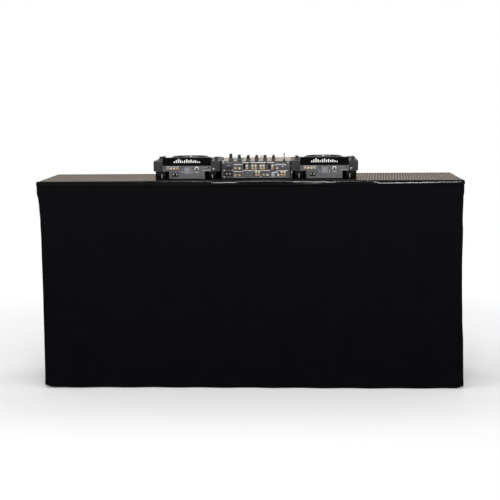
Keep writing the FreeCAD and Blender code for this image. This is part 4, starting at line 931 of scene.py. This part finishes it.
PLAYER_PHONO_SHARES = {"white": (-0.237, -0.19), "red": (-0.284,), "orange": (-0.143,)}
PLAYER_SCREW_SHARES = (-0.334, -0.069, 0.322)
PLAYER_INLET_SHARE = -0.178
PAIRED_SHARES = (-0.132, -0.052, -0.006, 0.070, 0.112, 0.238)
LOWER_PAIR_SHARES = (0.002, 0.045, 0.371, 0.414)
MIXER_PHONO_SHARES = {
    "white": [(across, 0.75) for across in PAIRED_SHARES] + [(across, 0.34) for across in LOWER_PAIR_SHARES]
    + [(-0.239, 0.58), (0.166, 0.16), (0.321, 0.16)],
    "red": [(across, 0.57) for across in PAIRED_SHARES] + [(across, 0.16) for across in LOWER_PAIR_SHARES]
    + [(-0.297, 0.58), (-0.297, 0.14), (0.109, 0.16)],
    "orange": [(-0.239, 0.14), (0.307, 0.58)],
}
XLR_SHARES = ((-0.153, 0.23), (-0.076, 0.23))
MIXER_SCREW_SHARES = ((-0.475, 0.95), (0.465, 0.95), (-0.461, 0.455), (-0.342, 0.455), (-0.461, 0.045),
                      (0.068, 0.045))
MIXER_INLET_SHARE = (-0.402, 0.25)

# Levels on the players' panels, and places on panels and wings from a player's middle
PHONO_LEVEL = PLAYER_BASE + 0.013
PLAYER_SCREW_LEVEL = PLAYER_BASE + 0.026 * 0.7
CONTROL_JACK_LEVEL = 0.995
CONTROL_JACK_REACHES = (0.0618, 0.0737)
REMOTE_SOCKET_PLACE = (0.047, PANEL_FACE, 1.032)
LOCK_PLACE = (0.1265, GEAR_REAR, 1.0310)
WING_SLOT_PLACE = (-0.1230, GEAR_REAR, 1.0350)


def player_panel_spots(shares, up):
    return [(middle + PLAYER_WIDTH * share, up) for middle in PLAYER_MIDDLES.values() for share in shares]


def mixer_panel_spots(shares):
    return [(MIXER_MIDDLE + MIXER_WIDTH * across, PANEL_LOW.z + (PANEL_HIGH.z - PANEL_LOW.z) * up)
            for across, up in shares]


def socket_collars():
    """Coloured insulators at the mouths of the phono sockets."""
    for name, colour in (("white", COLLAR_WHITE), ("red", COLLAR_RED), ("orange", COLLAR_ORANGE)):
        spots = player_panel_spots(PLAYER_PHONO_SHARES[name], PHONO_LEVEL)
        spots += mixer_panel_spots(MIXER_PHONO_SHARES[name])
        form = turned(ring(0.0015, 0.0033, 0.0089, 0.0092), True, 14)
        piece(f"socket_collars_{name}", repeated(form, on_panel(spots)), colour)


# Printed lines and labels on the mixer's rear panel, in millimetres: left, right, bottom and top
WHITE_RULES = (
    (-37.6, 113.0, 1058.8, 1061.8), (-36.0, 92.5, 1020.2, 1022.8), (124.0, 178.0, 1019.2, 1021.6),
    (-77.0, -39.0, 1049.6, 1052.2), (-78.0, -39.0, 1016.2, 1018.6), (116.0, 170.0, 1050.4, 1052.6),
    (104.0, 130.0, 1011.5, 1015.5), (152.0, 156.0, 1038.5, 1042.5))
GREY_RULES = (
    (115.0, 170.0, 1045.4, 1048.4), (-37.5, -36.5, 990.0, 1057.0), (93.3, 94.3, 991.0, 1020.0),
    (-79.5, -78.5, 991.0, 1051.0), (-111.0, -94.0, 1044.2, 1046.4), (-121.0, -85.0, 1058.6, 1060.4),
    (-78.0, -52.0, 1058.8, 1060.2), (120.0, 165.0, 992.0, 993.6), (-84.0, 182.0, 988.4, 990.6),
    (40.0, 60.0, 1033.0, 1034.0))
POWER_PLATE = (-134.0, -83.0, 1026.0, 1055.0)
PALE_PLATE = (100.6, 115.5, 993.0, 1014.0)

# Labels on a player's rear panel, from its middle, in the same order
PLAYER_LABELS = (
    (23.0, 25.5, 1008.0, 1025.0), (37.0, 57.0, 1013.5, 1018.0), (74.0, 110.0, 1022.6, 1025.4),
    (-98.0, -38.0, 1040.0, 1043.5), (-24.0, -19.0, 1014.0, 1021.0), (72.0, 100.0, 1037.0, 1038.2),
    (-72.0, -30.0, 989.0, 990.0))
RATING_PLATE = (-12.0, 17.0, 1008.0, 1038.0)
RATING_LINES = (21.0, 12.0, 24.0, 17.0, 8.0, 22.0, 14.0)
RATING_PITCH = 3.8
RATING_INDENT = 2.5
RATING_HEAD = 4.0

# How far printed lines, labels and the lines on labels stand proud
RULE_PROUD = 0.0002
LABEL_PROUD = 0.0003
LABEL_LINE_PROUD = 0.0004
LABEL_ROOT = 0.0001


def label_into(form, left, right, bottom, top, proud):
    box_into(form, (left * MILLIMETRE, PANEL_FACE - proud, bottom * MILLIMETRE),
             (right * MILLIMETRE, PANEL_FACE + LABEL_ROOT, top * MILLIMETRE))


def power_plate():
    """A dark plate over the mixer's inlet, held by two rivets."""
    left, right, bottom, top = [side * MILLIMETRE for side in POWER_PLATE]
    edge, proud, root, bevel = 0.004, 0.00012, 0.0008, 0.0004
    rivet = turned(((0.0014, 0.0002), (0.0014, 0.0008), (0.0009, 0.0012), (0.0, 0.0013)), steps=12)
    form = repeated(rivet, on_panel([(x, (bottom + top) / 2) for x in (left + edge, right - edge)]))
    soft_box_into(form, (left, PANEL_FACE - proud, bottom), (right, PANEL_FACE + root, top), bevel)
    piece("mixer_power_plate", form, FINISHES["mixer_paint"])


def panel_marks():
    """Printed lines that divide the mixer's rear panel, and labels on the rear panels."""
    for name, rules, colour in (("white", WHITE_RULES, MARK_WHITE), ("grey", GREY_RULES, MARK_GREY)):
        form = bmesh.new()
        for rule in rules:
            label_into(form, *rule, RULE_PROUD)
        piece(f"mixer_rules_{name}", form, colour)
    power_plate()
    strips, plates, lines = bmesh.new(), bmesh.new(), bmesh.new()
    below, above = 0.8, 0.6
    for middle in PLAYER_MIDDLES.values():
        shift = middle / MILLIMETRE
        for left, right, bottom, top in PLAYER_LABELS:
            label_into(strips, left + shift, right + shift, bottom, top, LABEL_PROUD)
        left, right, bottom, top = RATING_PLATE
        label_into(plates, left + shift, right + shift, bottom, top, LABEL_PROUD)
        start = left + shift + RATING_INDENT
        for number, long in enumerate(RATING_LINES):
            level = top - RATING_HEAD - number * RATING_PITCH
            label_into(lines, start, start + long, level - below, level + above, LABEL_LINE_PROUD)
    label_into(strips, *PALE_PLATE, LABEL_PROUD)
    piece("panel_labels", strips, PLATE_PALE)
    piece("rating_plates", plates, LABEL_GREY)
    piece("rating_lines", lines, MARK_GREY)


PANEL_TERMINALS = ((-0.0024, 1.0566), (0.0768, 1.0566))
DATA_SOCKETS = ((-0.0293, 1.0425), (0.0910, 1.0415))
TERMINAL_PROFILE = ((0.0, 0.0), (0.0046, 0.0), (0.0046, 0.0020), (0.0040, 0.0026), (0.0030, 0.0026),
                    (0.0030, 0.0060), (0.0024, 0.0066), (0.0, 0.0066))
REMOTE_PROFILE = ((0.0, 0.0), (0.0050, 0.0), (0.0050, 0.0008), (0.0044, 0.0014), (0.0022, 0.0014),
                  (0.0022, 0.0004), (0.0, 0.0004))
PIN_PROFILE = ((0.0, -0.0140), (0.0013, -0.0140), (0.0013, -0.0040), (0.0007, -0.0034), (0.0, -0.0034))


def panel_fittings():
    """Ground terminals, data sockets and bright prongs in the power inlets."""
    form = turned(TERMINAL_PROFILE, steps=20)
    piece("ground_terminals", repeated(form, on_panel(PANEL_TERMINALS)), BLACK_AND_HOLE_SHADE)
    form = bmesh.new()
    half, half_tall, root, proud = 0.0055, 0.0115, -0.0002, 0.0040
    bevel, border, sunk = 0.0008, 0.0018, 0.0032
    soft_box_into(form, (-half, -half_tall, root), (half, half_tall, proud), bevel)
    sink_face(form, (0, 0, 1), border, sunk)
    piece("data_sockets", repeated(form, on_panel(DATA_SOCKETS)), BLACK_AND_HOLE_SHADE)
    form = bmesh.new()
    half, half_tall, root, tip, bevel, reach = 0.0017, 0.0028, -0.0184, 0.0012, 0.0005, 0.007
    for x in (reach, -reach):
        soft_box_into(form, (x - half, -half_tall, root), (x + half, half_tall, tip), bevel)
    inlets = player_panel_spots([PLAYER_INLET_SHARE], middle_of("power_inlets").z)
    inlets += mixer_panel_spots([MIXER_INLET_SHARE])
    piece("inlet_prongs", repeated(form, on_panel(inlets)), PRONG_BRIGHT)


def round_sockets():
    """Rings and pins of the balanced sockets, and the players' remote sockets with their pale collars."""
    spots = on_panel(mixer_panel_spots(XLR_SHARES))
    form = turned(chamfered_ring(0.0095, 0.0112, 0.0106, 0.0014, 0.0019, 0.0024), True, 40)
    piece("balanced_rings", repeated(form, spots), PLATE_PALE)
    form = bmesh.new()
    pins, pin_reach, flat_edge = 3, 0.005, -0.0045
    for number in range(pins):
        pin = spun_into(form, PIN_PROFILE, False, 12)
        angle = FULL_TURN * number / pins
        away = (pin_reach * math.sin(angle), -pin_reach * math.cos(angle), 0)
        bmesh.ops.translate(form, vec=away, verts=pin)
    piece("balanced_pins", repeated(form, spots), PRONG_BRIGHT)
    form = turned(chamfered_ring(0.0052, 0.0095, 0.0088, 0.0, 0.0012, 0.0018), True, 32)
    whole = form.verts[:] + form.edges[:] + form.faces[:]
    bmesh.ops.bisect_plane(form, geom=whole, plane_co=(0, flat_edge, 0), plane_no=(0, -1, 0),
                           clear_outer=True)
    bmesh.ops.holes_fill(form, edges=[edge for edge in form.edges if edge.is_boundary])
    spots = on_players(*REMOTE_SOCKET_PLACE, FACE_AUDIENCE)
    piece("remote_socket_collars", repeated(form, spots), MARK_WHITE)
    piece("remote_sockets", repeated(turned(REMOTE_PROFILE), spots), BLACK_AND_HOLE_SHADE)


def screw_slot_shades():
    """Dark crosses in the heads of the panel screws: painted shade for their cross recesses."""
    places = player_panel_spots(PLAYER_SCREW_SHARES, PLAYER_SCREW_LEVEL)
    places += mixer_panel_spots(MIXER_SCREW_SHARES)
    form = bmesh.new()
    head, long, thin, root, proud = 0.0018, 0.0026, 0.0006, 0.0002, 0.00005
    for wide, tall in ((long, thin), (thin, long)):
        box_into(form, (-wide / 2, -tall / 2, head - root), (wide / 2, tall / 2, head + proud))
    piece("screw_slot_shades", repeated(form, on_panel(places)), BLACK_AND_HOLE_SHADE)


def control_jacks():
    """Small round control sockets low on the players' panels, and a lock ring and a slot on their wings."""
    spots = on_panel([(middle + reach, CONTROL_JACK_LEVEL)
                      for middle in PLAYER_MIDDLES.values() for reach in CONTROL_JACK_REACHES])
    form = turned(chamfered_ring(0.0016, 0.0034, 0.0030, 0.0, 0.0006, 0.0010), True, 20)
    piece("control_jacks", repeated(form, spots), FINISHES["inlet_plastic"])
    # Painted shade: a flat dark disc in each control socket's opening.
    form = turned(ring(0.0, 0.0016, 0.0, 0.0004), steps=16)
    piece("control_jack_hole_shades", repeated(form, spots), BLACK_AND_HOLE_SHADE)
    spots = on_players(*LOCK_PLACE, FACE_AUDIENCE)
    form = turned(chamfered_ring(0.0024, 0.0042, 0.0036, -0.0004, 0.0006, 0.0010), True, 24)
    piece("lock_rings", repeated(form, spots), MARK_WHITE)
    # Painted shade: a flat dark disc in each lock ring's opening.
    form = turned(ring(0.0, 0.0024, -0.0004, 0.0002), steps=16)
    piece("lock_hole_shades", repeated(form, spots), BLACK_AND_HOLE_SHADE)
    form = flat_frame(width=0.0125, height=0.0095, border=0.0019, thickness=0.0005)
    piece("wing_slots", repeated(form, on_players(*WING_SLOT_PLACE, FACE_AUDIENCE)), BLACK_AND_HOLE_SHADE)


def foot_painted_highlights():
    """Pale strips down the front and the back of each round foot: painted highlights on the glossy rubber."""
    low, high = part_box("equipment_feet")
    radius, half, bottom, top, proud, bevel = 0.0345, 0.0015, 0.9870, 1.0058, 0.0004, 0.0003
    reach = PLAYER_MIDDLES["left"] - low.x - radius
    form = bmesh.new()
    for middle in PLAYER_MIDDLES.values():
        for x in (middle - reach, middle + reach):
            for y in (low.y, low.y + 2 * radius, high.y - 2 * radius, high.y):
                soft_box_into(form, (x - half, y - proud, bottom), (x + half, y + proud, top), bevel, 1)
    # Painted highlights: pale strips where a lamp would leave a bright streak on each foot.
    piece("foot_painted_highlights", form, PLATE_PALE)


def power_cover():
    """A dark moulded cover over the mixer's inlet, with a sunk middle."""
    form = bmesh.new()
    left, right, bottom, top = -0.1115, -0.0925, 1.0310, 1.0405
    proud, root, bevel, border, sunk = 0.0025, 0.0002, 0.0010, 0.0018, 0.0012
    soft_box_into(form, (left, PANEL_FACE - proud, bottom), (right, PANEL_FACE + root, top), bevel)
    sink_face(form, (0, -1, 0), border, sunk)
    piece("mixer_fuse_cover", form, FINISHES["inlet_plastic"])


def hood_bars():
    """A plain row of equaliser bars across the back of each hood."""
    form = bmesh.new()
    heights = (0.008, 0.013, 0.019, 0.014, 0.009, 0.013, 0.017, 0.012, 0.015, 0.010, 0.013, 0.008, 0.006)
    pitch, half, bottom, proud, root, bevel = 0.0100, 0.0029, 1.0600, 0.0004, 0.0003, 0.0003
    for middle in PLAYER_MIDDLES.values():
        for number, height in enumerate(heights):
            x = middle + (number - (len(heights) - 1) / 2) * pitch
            soft_box_into(form, (x - half, GEAR_REAR - proud, bottom),
                          (x + half, GEAR_REAR + root, bottom + height), bevel, 1)
    piece("hood_bars", form, MARK_WHITE)


# Controls

KNOB_GAP = 0.0005


def grip_knob(node, seat):
    """A tapered rubber knob with flutes and a pale pointer, in place of a plain turned one."""
    low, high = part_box(node)
    height = high.z - seat
    radius = (high.x - low.x) / 2
    bevel, dish, flutes, flute_share = 0.0008, 0.0006, 12, 0.05
    pointer_half, pointer_root, pointer_proud = 0.0007, 0.0004, 0.0001
    foot, foot_height = radius * 1.16, height * 0.34
    neck, top = radius * 0.92, radius * 0.78
    form = bmesh.new()
    spun_into(form, ((0.0, 0.0), (foot, 0.0), (foot, foot_height * 0.55), (neck + 0.0003, foot_height),
                     (0.0, foot_height)), False, 32)
    base = len(form.faces)
    made = spun_into(form, (
        (0.0, foot_height), (neck, foot_height), (neck, foot_height + 0.001), (top, height - bevel),
        (top - bevel, height), (top * 0.72, height), (top * 0.66, height - dish), (0.0, height - dish)),
        False, 48)
    for spot in made:
        reach = math.hypot(spot.co.x, spot.co.y)
        if reach > top - bevel / 2 and foot_height < spot.co.z < height:
            angle = math.atan2(spot.co.y, spot.co.x)
            dip = 1 - flute_share * (0.5 + 0.5 * math.cos(flutes * angle))
            spot.co.x *= dip
            spot.co.y *= dip
    rubber = len(form.faces)
    box_into(form, (-pointer_half, -top + bevel, height - pointer_root),
             (pointer_half, -top * 0.25, height + pointer_proud))
    for number, face in enumerate(form.faces):
        face.material_index = 1 if number < base else 0 if number < rubber else 2
    middle = (low + high) / 2
    bmesh.ops.translate(form, vec=(middle.x, middle.y, seat), verts=form.verts)
    cap = piece(f"{node}_cap", form, FINISHES["knob_plastic"], KNOB_BASE, MARK_WHITE, body=node)
    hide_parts(node)


def knobs():
    for row in ("trim", "high", "low"):
        for channel in range(1, 5):
            grip_knob(f"{row}_knob_{channel}", MIXER_TOP + KNOB_GAP)
    for name in ("master_knob", "booth_knob"):
        grip_knob(name, MIXER_TOP + KNOB_GAP)
    for side in PLAYER_MIDDLES:
        grip_knob(f"{side}_browse_knob", PLAYER_TOP + KNOB_GAP)


def fader_lines():
    """A line across the groove of every fader cap: pale on the dark ones, dark on the silver ones."""
    line, inset, cap_height, groove_share = 0.0009, 0.0005, 0.012, 0.28
    root, proud = 0.0006, 0.0010
    for node in [f"channel_fader_{channel}" for channel in range(1, 5)] + [
            f"{side}_tempo_fader" for side in PLAYER_MIDDLES] + ["crossfader"]:
        low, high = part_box(node)
        middle = (low + high) / 2
        groove = high.z - cap_height * groove_share
        form = bmesh.new()
        if node == "crossfader":
            box_into(form, (middle.x - line, low.y + inset, groove - root),
                     (middle.x + line, high.y - inset, groove + proud))
        else:
            box_into(form, (low.x + inset, middle.y - line, groove - root),
                     (high.x - inset, middle.y + line, groove + proud))
        piece(f"{node}_line", form, MARK_WHITE if "tempo" in node else BLACK_AND_HOLE_SHADE, body=node)


def button_lights():
    """A lit ring in the top of each play and cue button."""
    for side in PLAYER_MIDDLES:
        for name, light in (("play", PLAY_GREEN), ("cue", CUE_AMBER)):
            node = f"{side}_{name}_button"
            low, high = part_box(node)
            form = turned(ring(0.0108, 0.0132, -0.0004, 0.00005), True, 40)
            middle = (low + high) / 2
            bmesh.ops.translate(form, vec=(middle.x, middle.y, high.z), verts=form.verts)
            piece(f"{node}_light", form, light, body=node)


def jog_details():
    """A glossy window on each hub with a ring of lit ticks, and a pale index on each wheel's rim."""
    spots = on_players(0.0, JOG_MIDDLE_Y, HUB_TOP)
    window = turned(chamfered_ring(0.0, 0.0405, 0.0400, 0.0, 0.0004, 0.0007), False, 64)
    piece("hub_windows", repeated(window, spots), HUB_WINDOW)
    ticks = bmesh.new()
    count, ring_reach, half, root, top = 60, 0.0360, 0.0005, 0.0006, 0.00072
    plain, fifth, marker = 0.0026, 0.0045, 0.0120
    for number in range(count):
        long = marker if number == count // 4 else fifth if number % 5 == 0 else plain
        made = box_into(ticks, (ring_reach - long, -half, root), (ring_reach, half, top))
        turn = Matrix.Rotation(FULL_TURN * number / count, 3, "Z")
        bmesh.ops.rotate(ticks, verts=made, cent=(0, 0, 0), matrix=turn)
    piece("hub_ticks", repeated(ticks, spots), HUB_WHITE)
    turned_by = {"left": 0.0094, "right": -0.0025}
    half, outer, inner, root, proud, bevel = 0.0050, 0.0805, 0.0735, 0.0006, 0.0050, 0.0018
    for side, middle in PLAYER_MIDDLES.items():
        form = bmesh.new()
        across = middle + turned_by[side]
        rim_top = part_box(f"{side}_jog_wheel")[1].z
        soft_box_into(form, (across - half, JOG_MIDDLE_Y - outer, rim_top - root),
                      (across + half, JOG_MIDDLE_Y - inner, rim_top + proud), bevel)
        piece(f"{side}_jog_index", form, MARK_WHITE, body=f"{side}_jog_wheel")


def player_marks():
    """Scale lines beside the tempo faders, rules under the keys, and lips round the disc slots."""
    form = bmesh.new()
    half, lines, long_line, short_line = 0.0003, 11, 0.0055, 0.0035
    fader_across, beside, start, pitch = 0.132, 0.0095, 0.065, 0.010
    key_left, key_right, key_rows = 0.118, 0.146, (0.132, 0.175)
    disc_slot = (0.0, 0.2220, 1.004)
    for middle in PLAYER_MIDDLES.values():
        for number in range(lines):
            y = start + pitch * number
            long = long_line if number % 5 == 0 else short_line
            for sign in (-1, 1):
                inner = middle - fader_across + sign * beside
                ends = sorted((inner, inner + sign * long))
                print_into(form, *ends, y - half, y + half, PLAYER_TOP)
        for y in key_rows:
            print_into(form, middle + key_left, middle + key_right, y - half, y + half, PLAYER_TOP)
    piece("player_marks", form, MARK_GREY)
    lips = flat_frame(width=0.138, height=0.016, border=0.0055, thickness=0.0016)
    piece("disc_slot_lips", repeated(lips, on_players(*disc_slot, FACE_DJ)), FINISHES["hood_plastic"])


def mixer_marks():
    """Tick rings round the knobs, fader scales and dividing lines on the mixer's top plate."""
    form = bmesh.new()
    half, tick_half, tick_long = 0.0003, 0.00035, 0.0022
    ticks, sweep, scale_lines, cross_lines = 11, 300, 11, 9
    channel_reach, output_reach = 0.0100, 0.0116
    scale_start, scale_pitch, scale_beside, scale_half = 0.060, 0.006, 0.0095, 0.0018
    cross_pitch, cross_near, cross_far = 0.0056, 0.183, 0.1865
    outputs = [middle_of(node).x for node in ("master_knob", "booth_knob")]
    rings = [(x, y, channel_reach) for x in COLUMNS for y in ROWS]
    rings += [(x, ROWS[0], output_reach) for x in outputs]
    for x, y, reach in rings:
        for number in range(ticks):
            made = print_into(form, -tick_half, tick_half, -reach - tick_long, -reach, 0.0)
            angle = sweep // (ticks - 1) * number - sweep // 2
            turn = Matrix.Rotation(math.radians(angle), 3, "Z")
            bmesh.ops.rotate(form, verts=made, cent=(0, 0, 0), matrix=turn)
            bmesh.ops.translate(form, verts=made, vec=(x, y, MIXER_TOP))
    for x in COLUMNS:
        for number in range(scale_lines):
            y = scale_start + scale_pitch * number
            for place in (x - scale_beside, x + scale_beside):
                print_into(form, place - scale_half, place + scale_half, y - half, y + half, MIXER_TOP)
    for number in range(cross_lines):
        x = (COLUMNS[1] + COLUMNS[2]) / 2 + (number - cross_lines // 2) * cross_pitch
        print_into(form, x - half, x + half, cross_near, cross_far, MIXER_TOP)
    divide, end, rear, front = COLUMNS[3] - COLUMN_PITCH / 2, MIXER_MIDDLE + 0.148, -0.135, 0.150
    print_into(form, divide - half, divide + half, rear, front, MIXER_TOP)
    print_into(form, divide, end, front - half, front + half, MIXER_TOP)
    piece("mixer_marks", form, MARK_WHITE)


def level_meters():
    """Columns of small lamps between the channels, lit from the DJ's end."""
    start, pitch = -0.006, 0.0058
    half, half_deep, root, proud, bevel = 0.0022, 0.0014, 0.0003, 0.00008, 0.00006
    columns = [COLUMNS[0] - (gap - 0.5) * COLUMN_PITCH for gap in range(4)]
    for name, light, numbers in (("green", METER_GREEN, range(8)), ("amber", METER_AMBER, range(8, 11)),
                                 ("red", METER_RED, range(11, 12))):
        spots = [at(x, start - number * pitch, MIXER_TOP) for x in columns for number in numbers]
        form = bmesh.new()
        soft_box_into(form, (-half, -half_deep, -root), (half, half_deep, proud), bevel, 1)
        piece(f"meter_lamps_{name}", repeated(form, spots), light)


def effect_window():
    """A small glossy window beside the faders, and a ring for headphones in the mixer's front."""
    form = bmesh.new()
    left, width, near, far = MIXER_MIDDLE - 0.139, 0.076, 0.072, 0.108
    root, proud, bevel = 0.0003, 0.0012, 0.0008
    soft_box_into(form, (left, near, MIXER_TOP - root), (left + width, far, MIXER_TOP + proud), bevel)
    piece("effect_window", form, FINISHES["hood_plastic"])
    form = bmesh.new()
    start, first, line_pitch, line_tall = left + 0.009, 0.080, 0.0065, 0.0022
    line_low, line_top = MIXER_TOP + 0.0011, MIXER_TOP + 0.0013
    for number, long in enumerate((0.052, 0.040, 0.058, 0.030)):
        y = first + number * line_pitch
        box_into(form, (start, y, line_low), (start + long, y + line_tall, line_top))
    piece("effect_window_lines", form, HUB_WHITE)
    across, front, level = 0.117, 0.2300, 1.025
    mouth = [at(MIXER_MIDDLE - across, front, level, FACE_DJ)]
    form = turned(chamfered_ring(0.0034, 0.0075, 0.0062, 0.0, 0.0015, 0.0026), True, 32)
    piece("headphone_ring", repeated(form, mouth), FINISHES["screw_steel"])
    # Painted shade: a flat dark disc in the headphone ring's opening.
    form = turned(ring(0.0, 0.0034, 0.0, 0.0008))
    piece("headphone_hole_shade", repeated(form, mouth), BLACK_AND_HOLE_SHADE)


def mixer_gap_shade_strips():
    """Soft rubber strips low on the mixer's sides, under the players' wings: a dark fill standing in for the
    shade beside the mixer.
    """
    form = bmesh.new()
    thick, overlap, bottom, top, bevel = 0.0042, 0.0002, 0.9885, 1.0095, 0.0015
    near, far = GEAR_REAR + 0.020, GEAR_REAR + 0.220
    for low in (PLATE_LOW.x - thick, PLATE_HIGH.x - overlap):
        soft_box_into(form, (low, near, bottom), (low + thick + overlap, far, top), bevel)
    piece("mixer_gap_shade_strips", form, FINISHES["cap_rubber"])


def port_frames():
    """A steel port frame in the DJ's side of each raised port housing."""
    port, half, half_tall, proud = (0.137, -0.0730, 1.078), 0.0050, 0.0025, 0.0003
    spots = on_players(*port, FACE_DJ)
    rims = flat_frame(width=0.0120, height=0.0070, border=0.0010, thickness=0.0012)
    piece("port_frames", repeated(rims, spots), FINISHES["screw_steel"])
    # Painted shade: a flat dark piece in each port's mouth.
    holes = bmesh.new()
    box_into(holes, (-half, -half_tall, 0.0), (half, half_tall, proud))
    piece("port_mouth_shades", repeated(holes, spots), BLACK_AND_HOLE_SHADE)


# Camera, floor and light

def photograph_camera():
    """Stands where the photograph was taken from: about 7 m in front and a little above the table."""
    yaw, pitch, roll = -0.0337, 0.1153, -0.0071
    place = (0.2201, -6.8022, 1.4127)
    focal_pixels, picture_pixels = 1400, 500
    lens = bpy.data.cameras.new("photograph_camera")
    lens.sensor_width = 36.0
    lens.lens = lens.sensor_width * focal_pixels / picture_pixels
    lens.clip_end = 200.0
    camera = bpy.data.objects.new("photograph_camera", lens)
    scene.collection.objects.link(camera)
    turn = Matrix.Rotation(-yaw, 4, "Z") @ Matrix.Rotation(HALF_TURN / 2 - pitch, 4, "X")
    camera.matrix_world = Matrix.Translation(place) @ turn @ Matrix.Rotation(roll, 4, "Z")
    scene.camera = camera


def seen_directly(tree):
    """One for camera, glossy and transmission rays, and nought for the light that falls on the object."""
    path = add(tree, "ShaderNodeLightPath")
    mirrored = maths(tree, "MAXIMUM", path.outputs["Is Glossy Ray"], path.outputs["Is Transmission Ray"])
    return maths(tree, "MAXIMUM", path.outputs["Is Camera Ray"], mirrored)


def studio():
    """A pale floor that keeps the shadow, a white background and soft lamps."""
    floor_radius, near, far_off, near_glow, sky_light = 60.0, 1.2, 3.0, 0.15, 0.55
    form = bmesh.new()
    bmesh.ops.create_circle(form, cap_ends=True, segments=96, radius=floor_radius)
    mesh = bpy.data.meshes.new("studio_floor")
    form.to_mesh(mesh)
    form.free()
    floor = bpy.data.objects.new("studio_floor", mesh)
    scene.collection.objects.link(floor)
    material, tree, shader = bare_material("studio_floor", Roughness=0.9, Base_Color=rgb(0.82, 0.82, 0.82))
    flat = add(tree, "ShaderNodeVectorMath", {"operation": "LENGTH"})
    feed(tree, object_spot(tree), flat.inputs[0])
    far = ranged(tree, flat.outputs["Value"], near, far_off, near_glow, 1.0)
    glow = add(tree, "ShaderNodeEmission", Color=rgb(1, 1, 1), Strength=1.0)
    joined = add(tree, "ShaderNodeMixShader")
    feed(tree, maths(tree, "MULTIPLY", far, seen_directly(tree)), joined.inputs[0])
    feed(tree, shader.outputs[0], joined.inputs[1])
    feed(tree, glow.outputs[0], joined.inputs[2])
    feed(tree, joined.outputs[0], tree.nodes["Material Output"].inputs["Surface"])
    mesh.materials.append(material)

    world = bpy.data.worlds.new("studio_world")
    scene.world = world
    world.use_nodes = True
    tree = world.node_tree
    sky = tree.nodes["Background"]
    sky.inputs["Color"].default_value = rgb(1, 1, 1)
    feed(tree, ranged(tree, seen_directly(tree), 0.0, 1.0, sky_light, 1.0), sky.inputs["Strength"])

    for name, spot, aim, size, power in (
            ("overhead_softbox", (-0.4, -1.6, 3.9), (0.1, 0.0, 0.9), (4.0, 2.4), 60.0),
            ("front_strip_light", (0.35, -8.3, 3.82), (0.2, 0.0, 0.9), (3.3, 0.20), 420.0),
            ("rear_softbox", (0.2, 2.2, 4.4), (0.0, 0.0, 0.9), (2.6, 1.6), 50.0)):
        lamp = bpy.data.lights.new(name, "AREA")
        lamp.shape = "RECTANGLE"
        lamp.size, lamp.size_y = size
        lamp.energy = power
        holder = bpy.data.objects.new(name, lamp)
        scene.collection.objects.link(holder)
        way = Vector(aim) - Vector(spot)
        holder.matrix_world = Matrix.Translation(spot) @ way.to_track_quat("-Z", "Y").to_matrix().to_4x4()
    scene.view_settings.view_transform = "Standard"


skirt_cloth()
edge_trim()
socket_collars()
panel_marks()
panel_fittings()
round_sockets()
screw_slot_shades()
control_jacks()
power_cover()
foot_painted_highlights()
hood_bars()
knobs()
fader_lines()
button_lights()
jog_details()
player_marks()
mixer_marks()
level_meters()
effect_window()
mixer_gap_shade_strips()
port_frames()
photograph_camera()
studio()
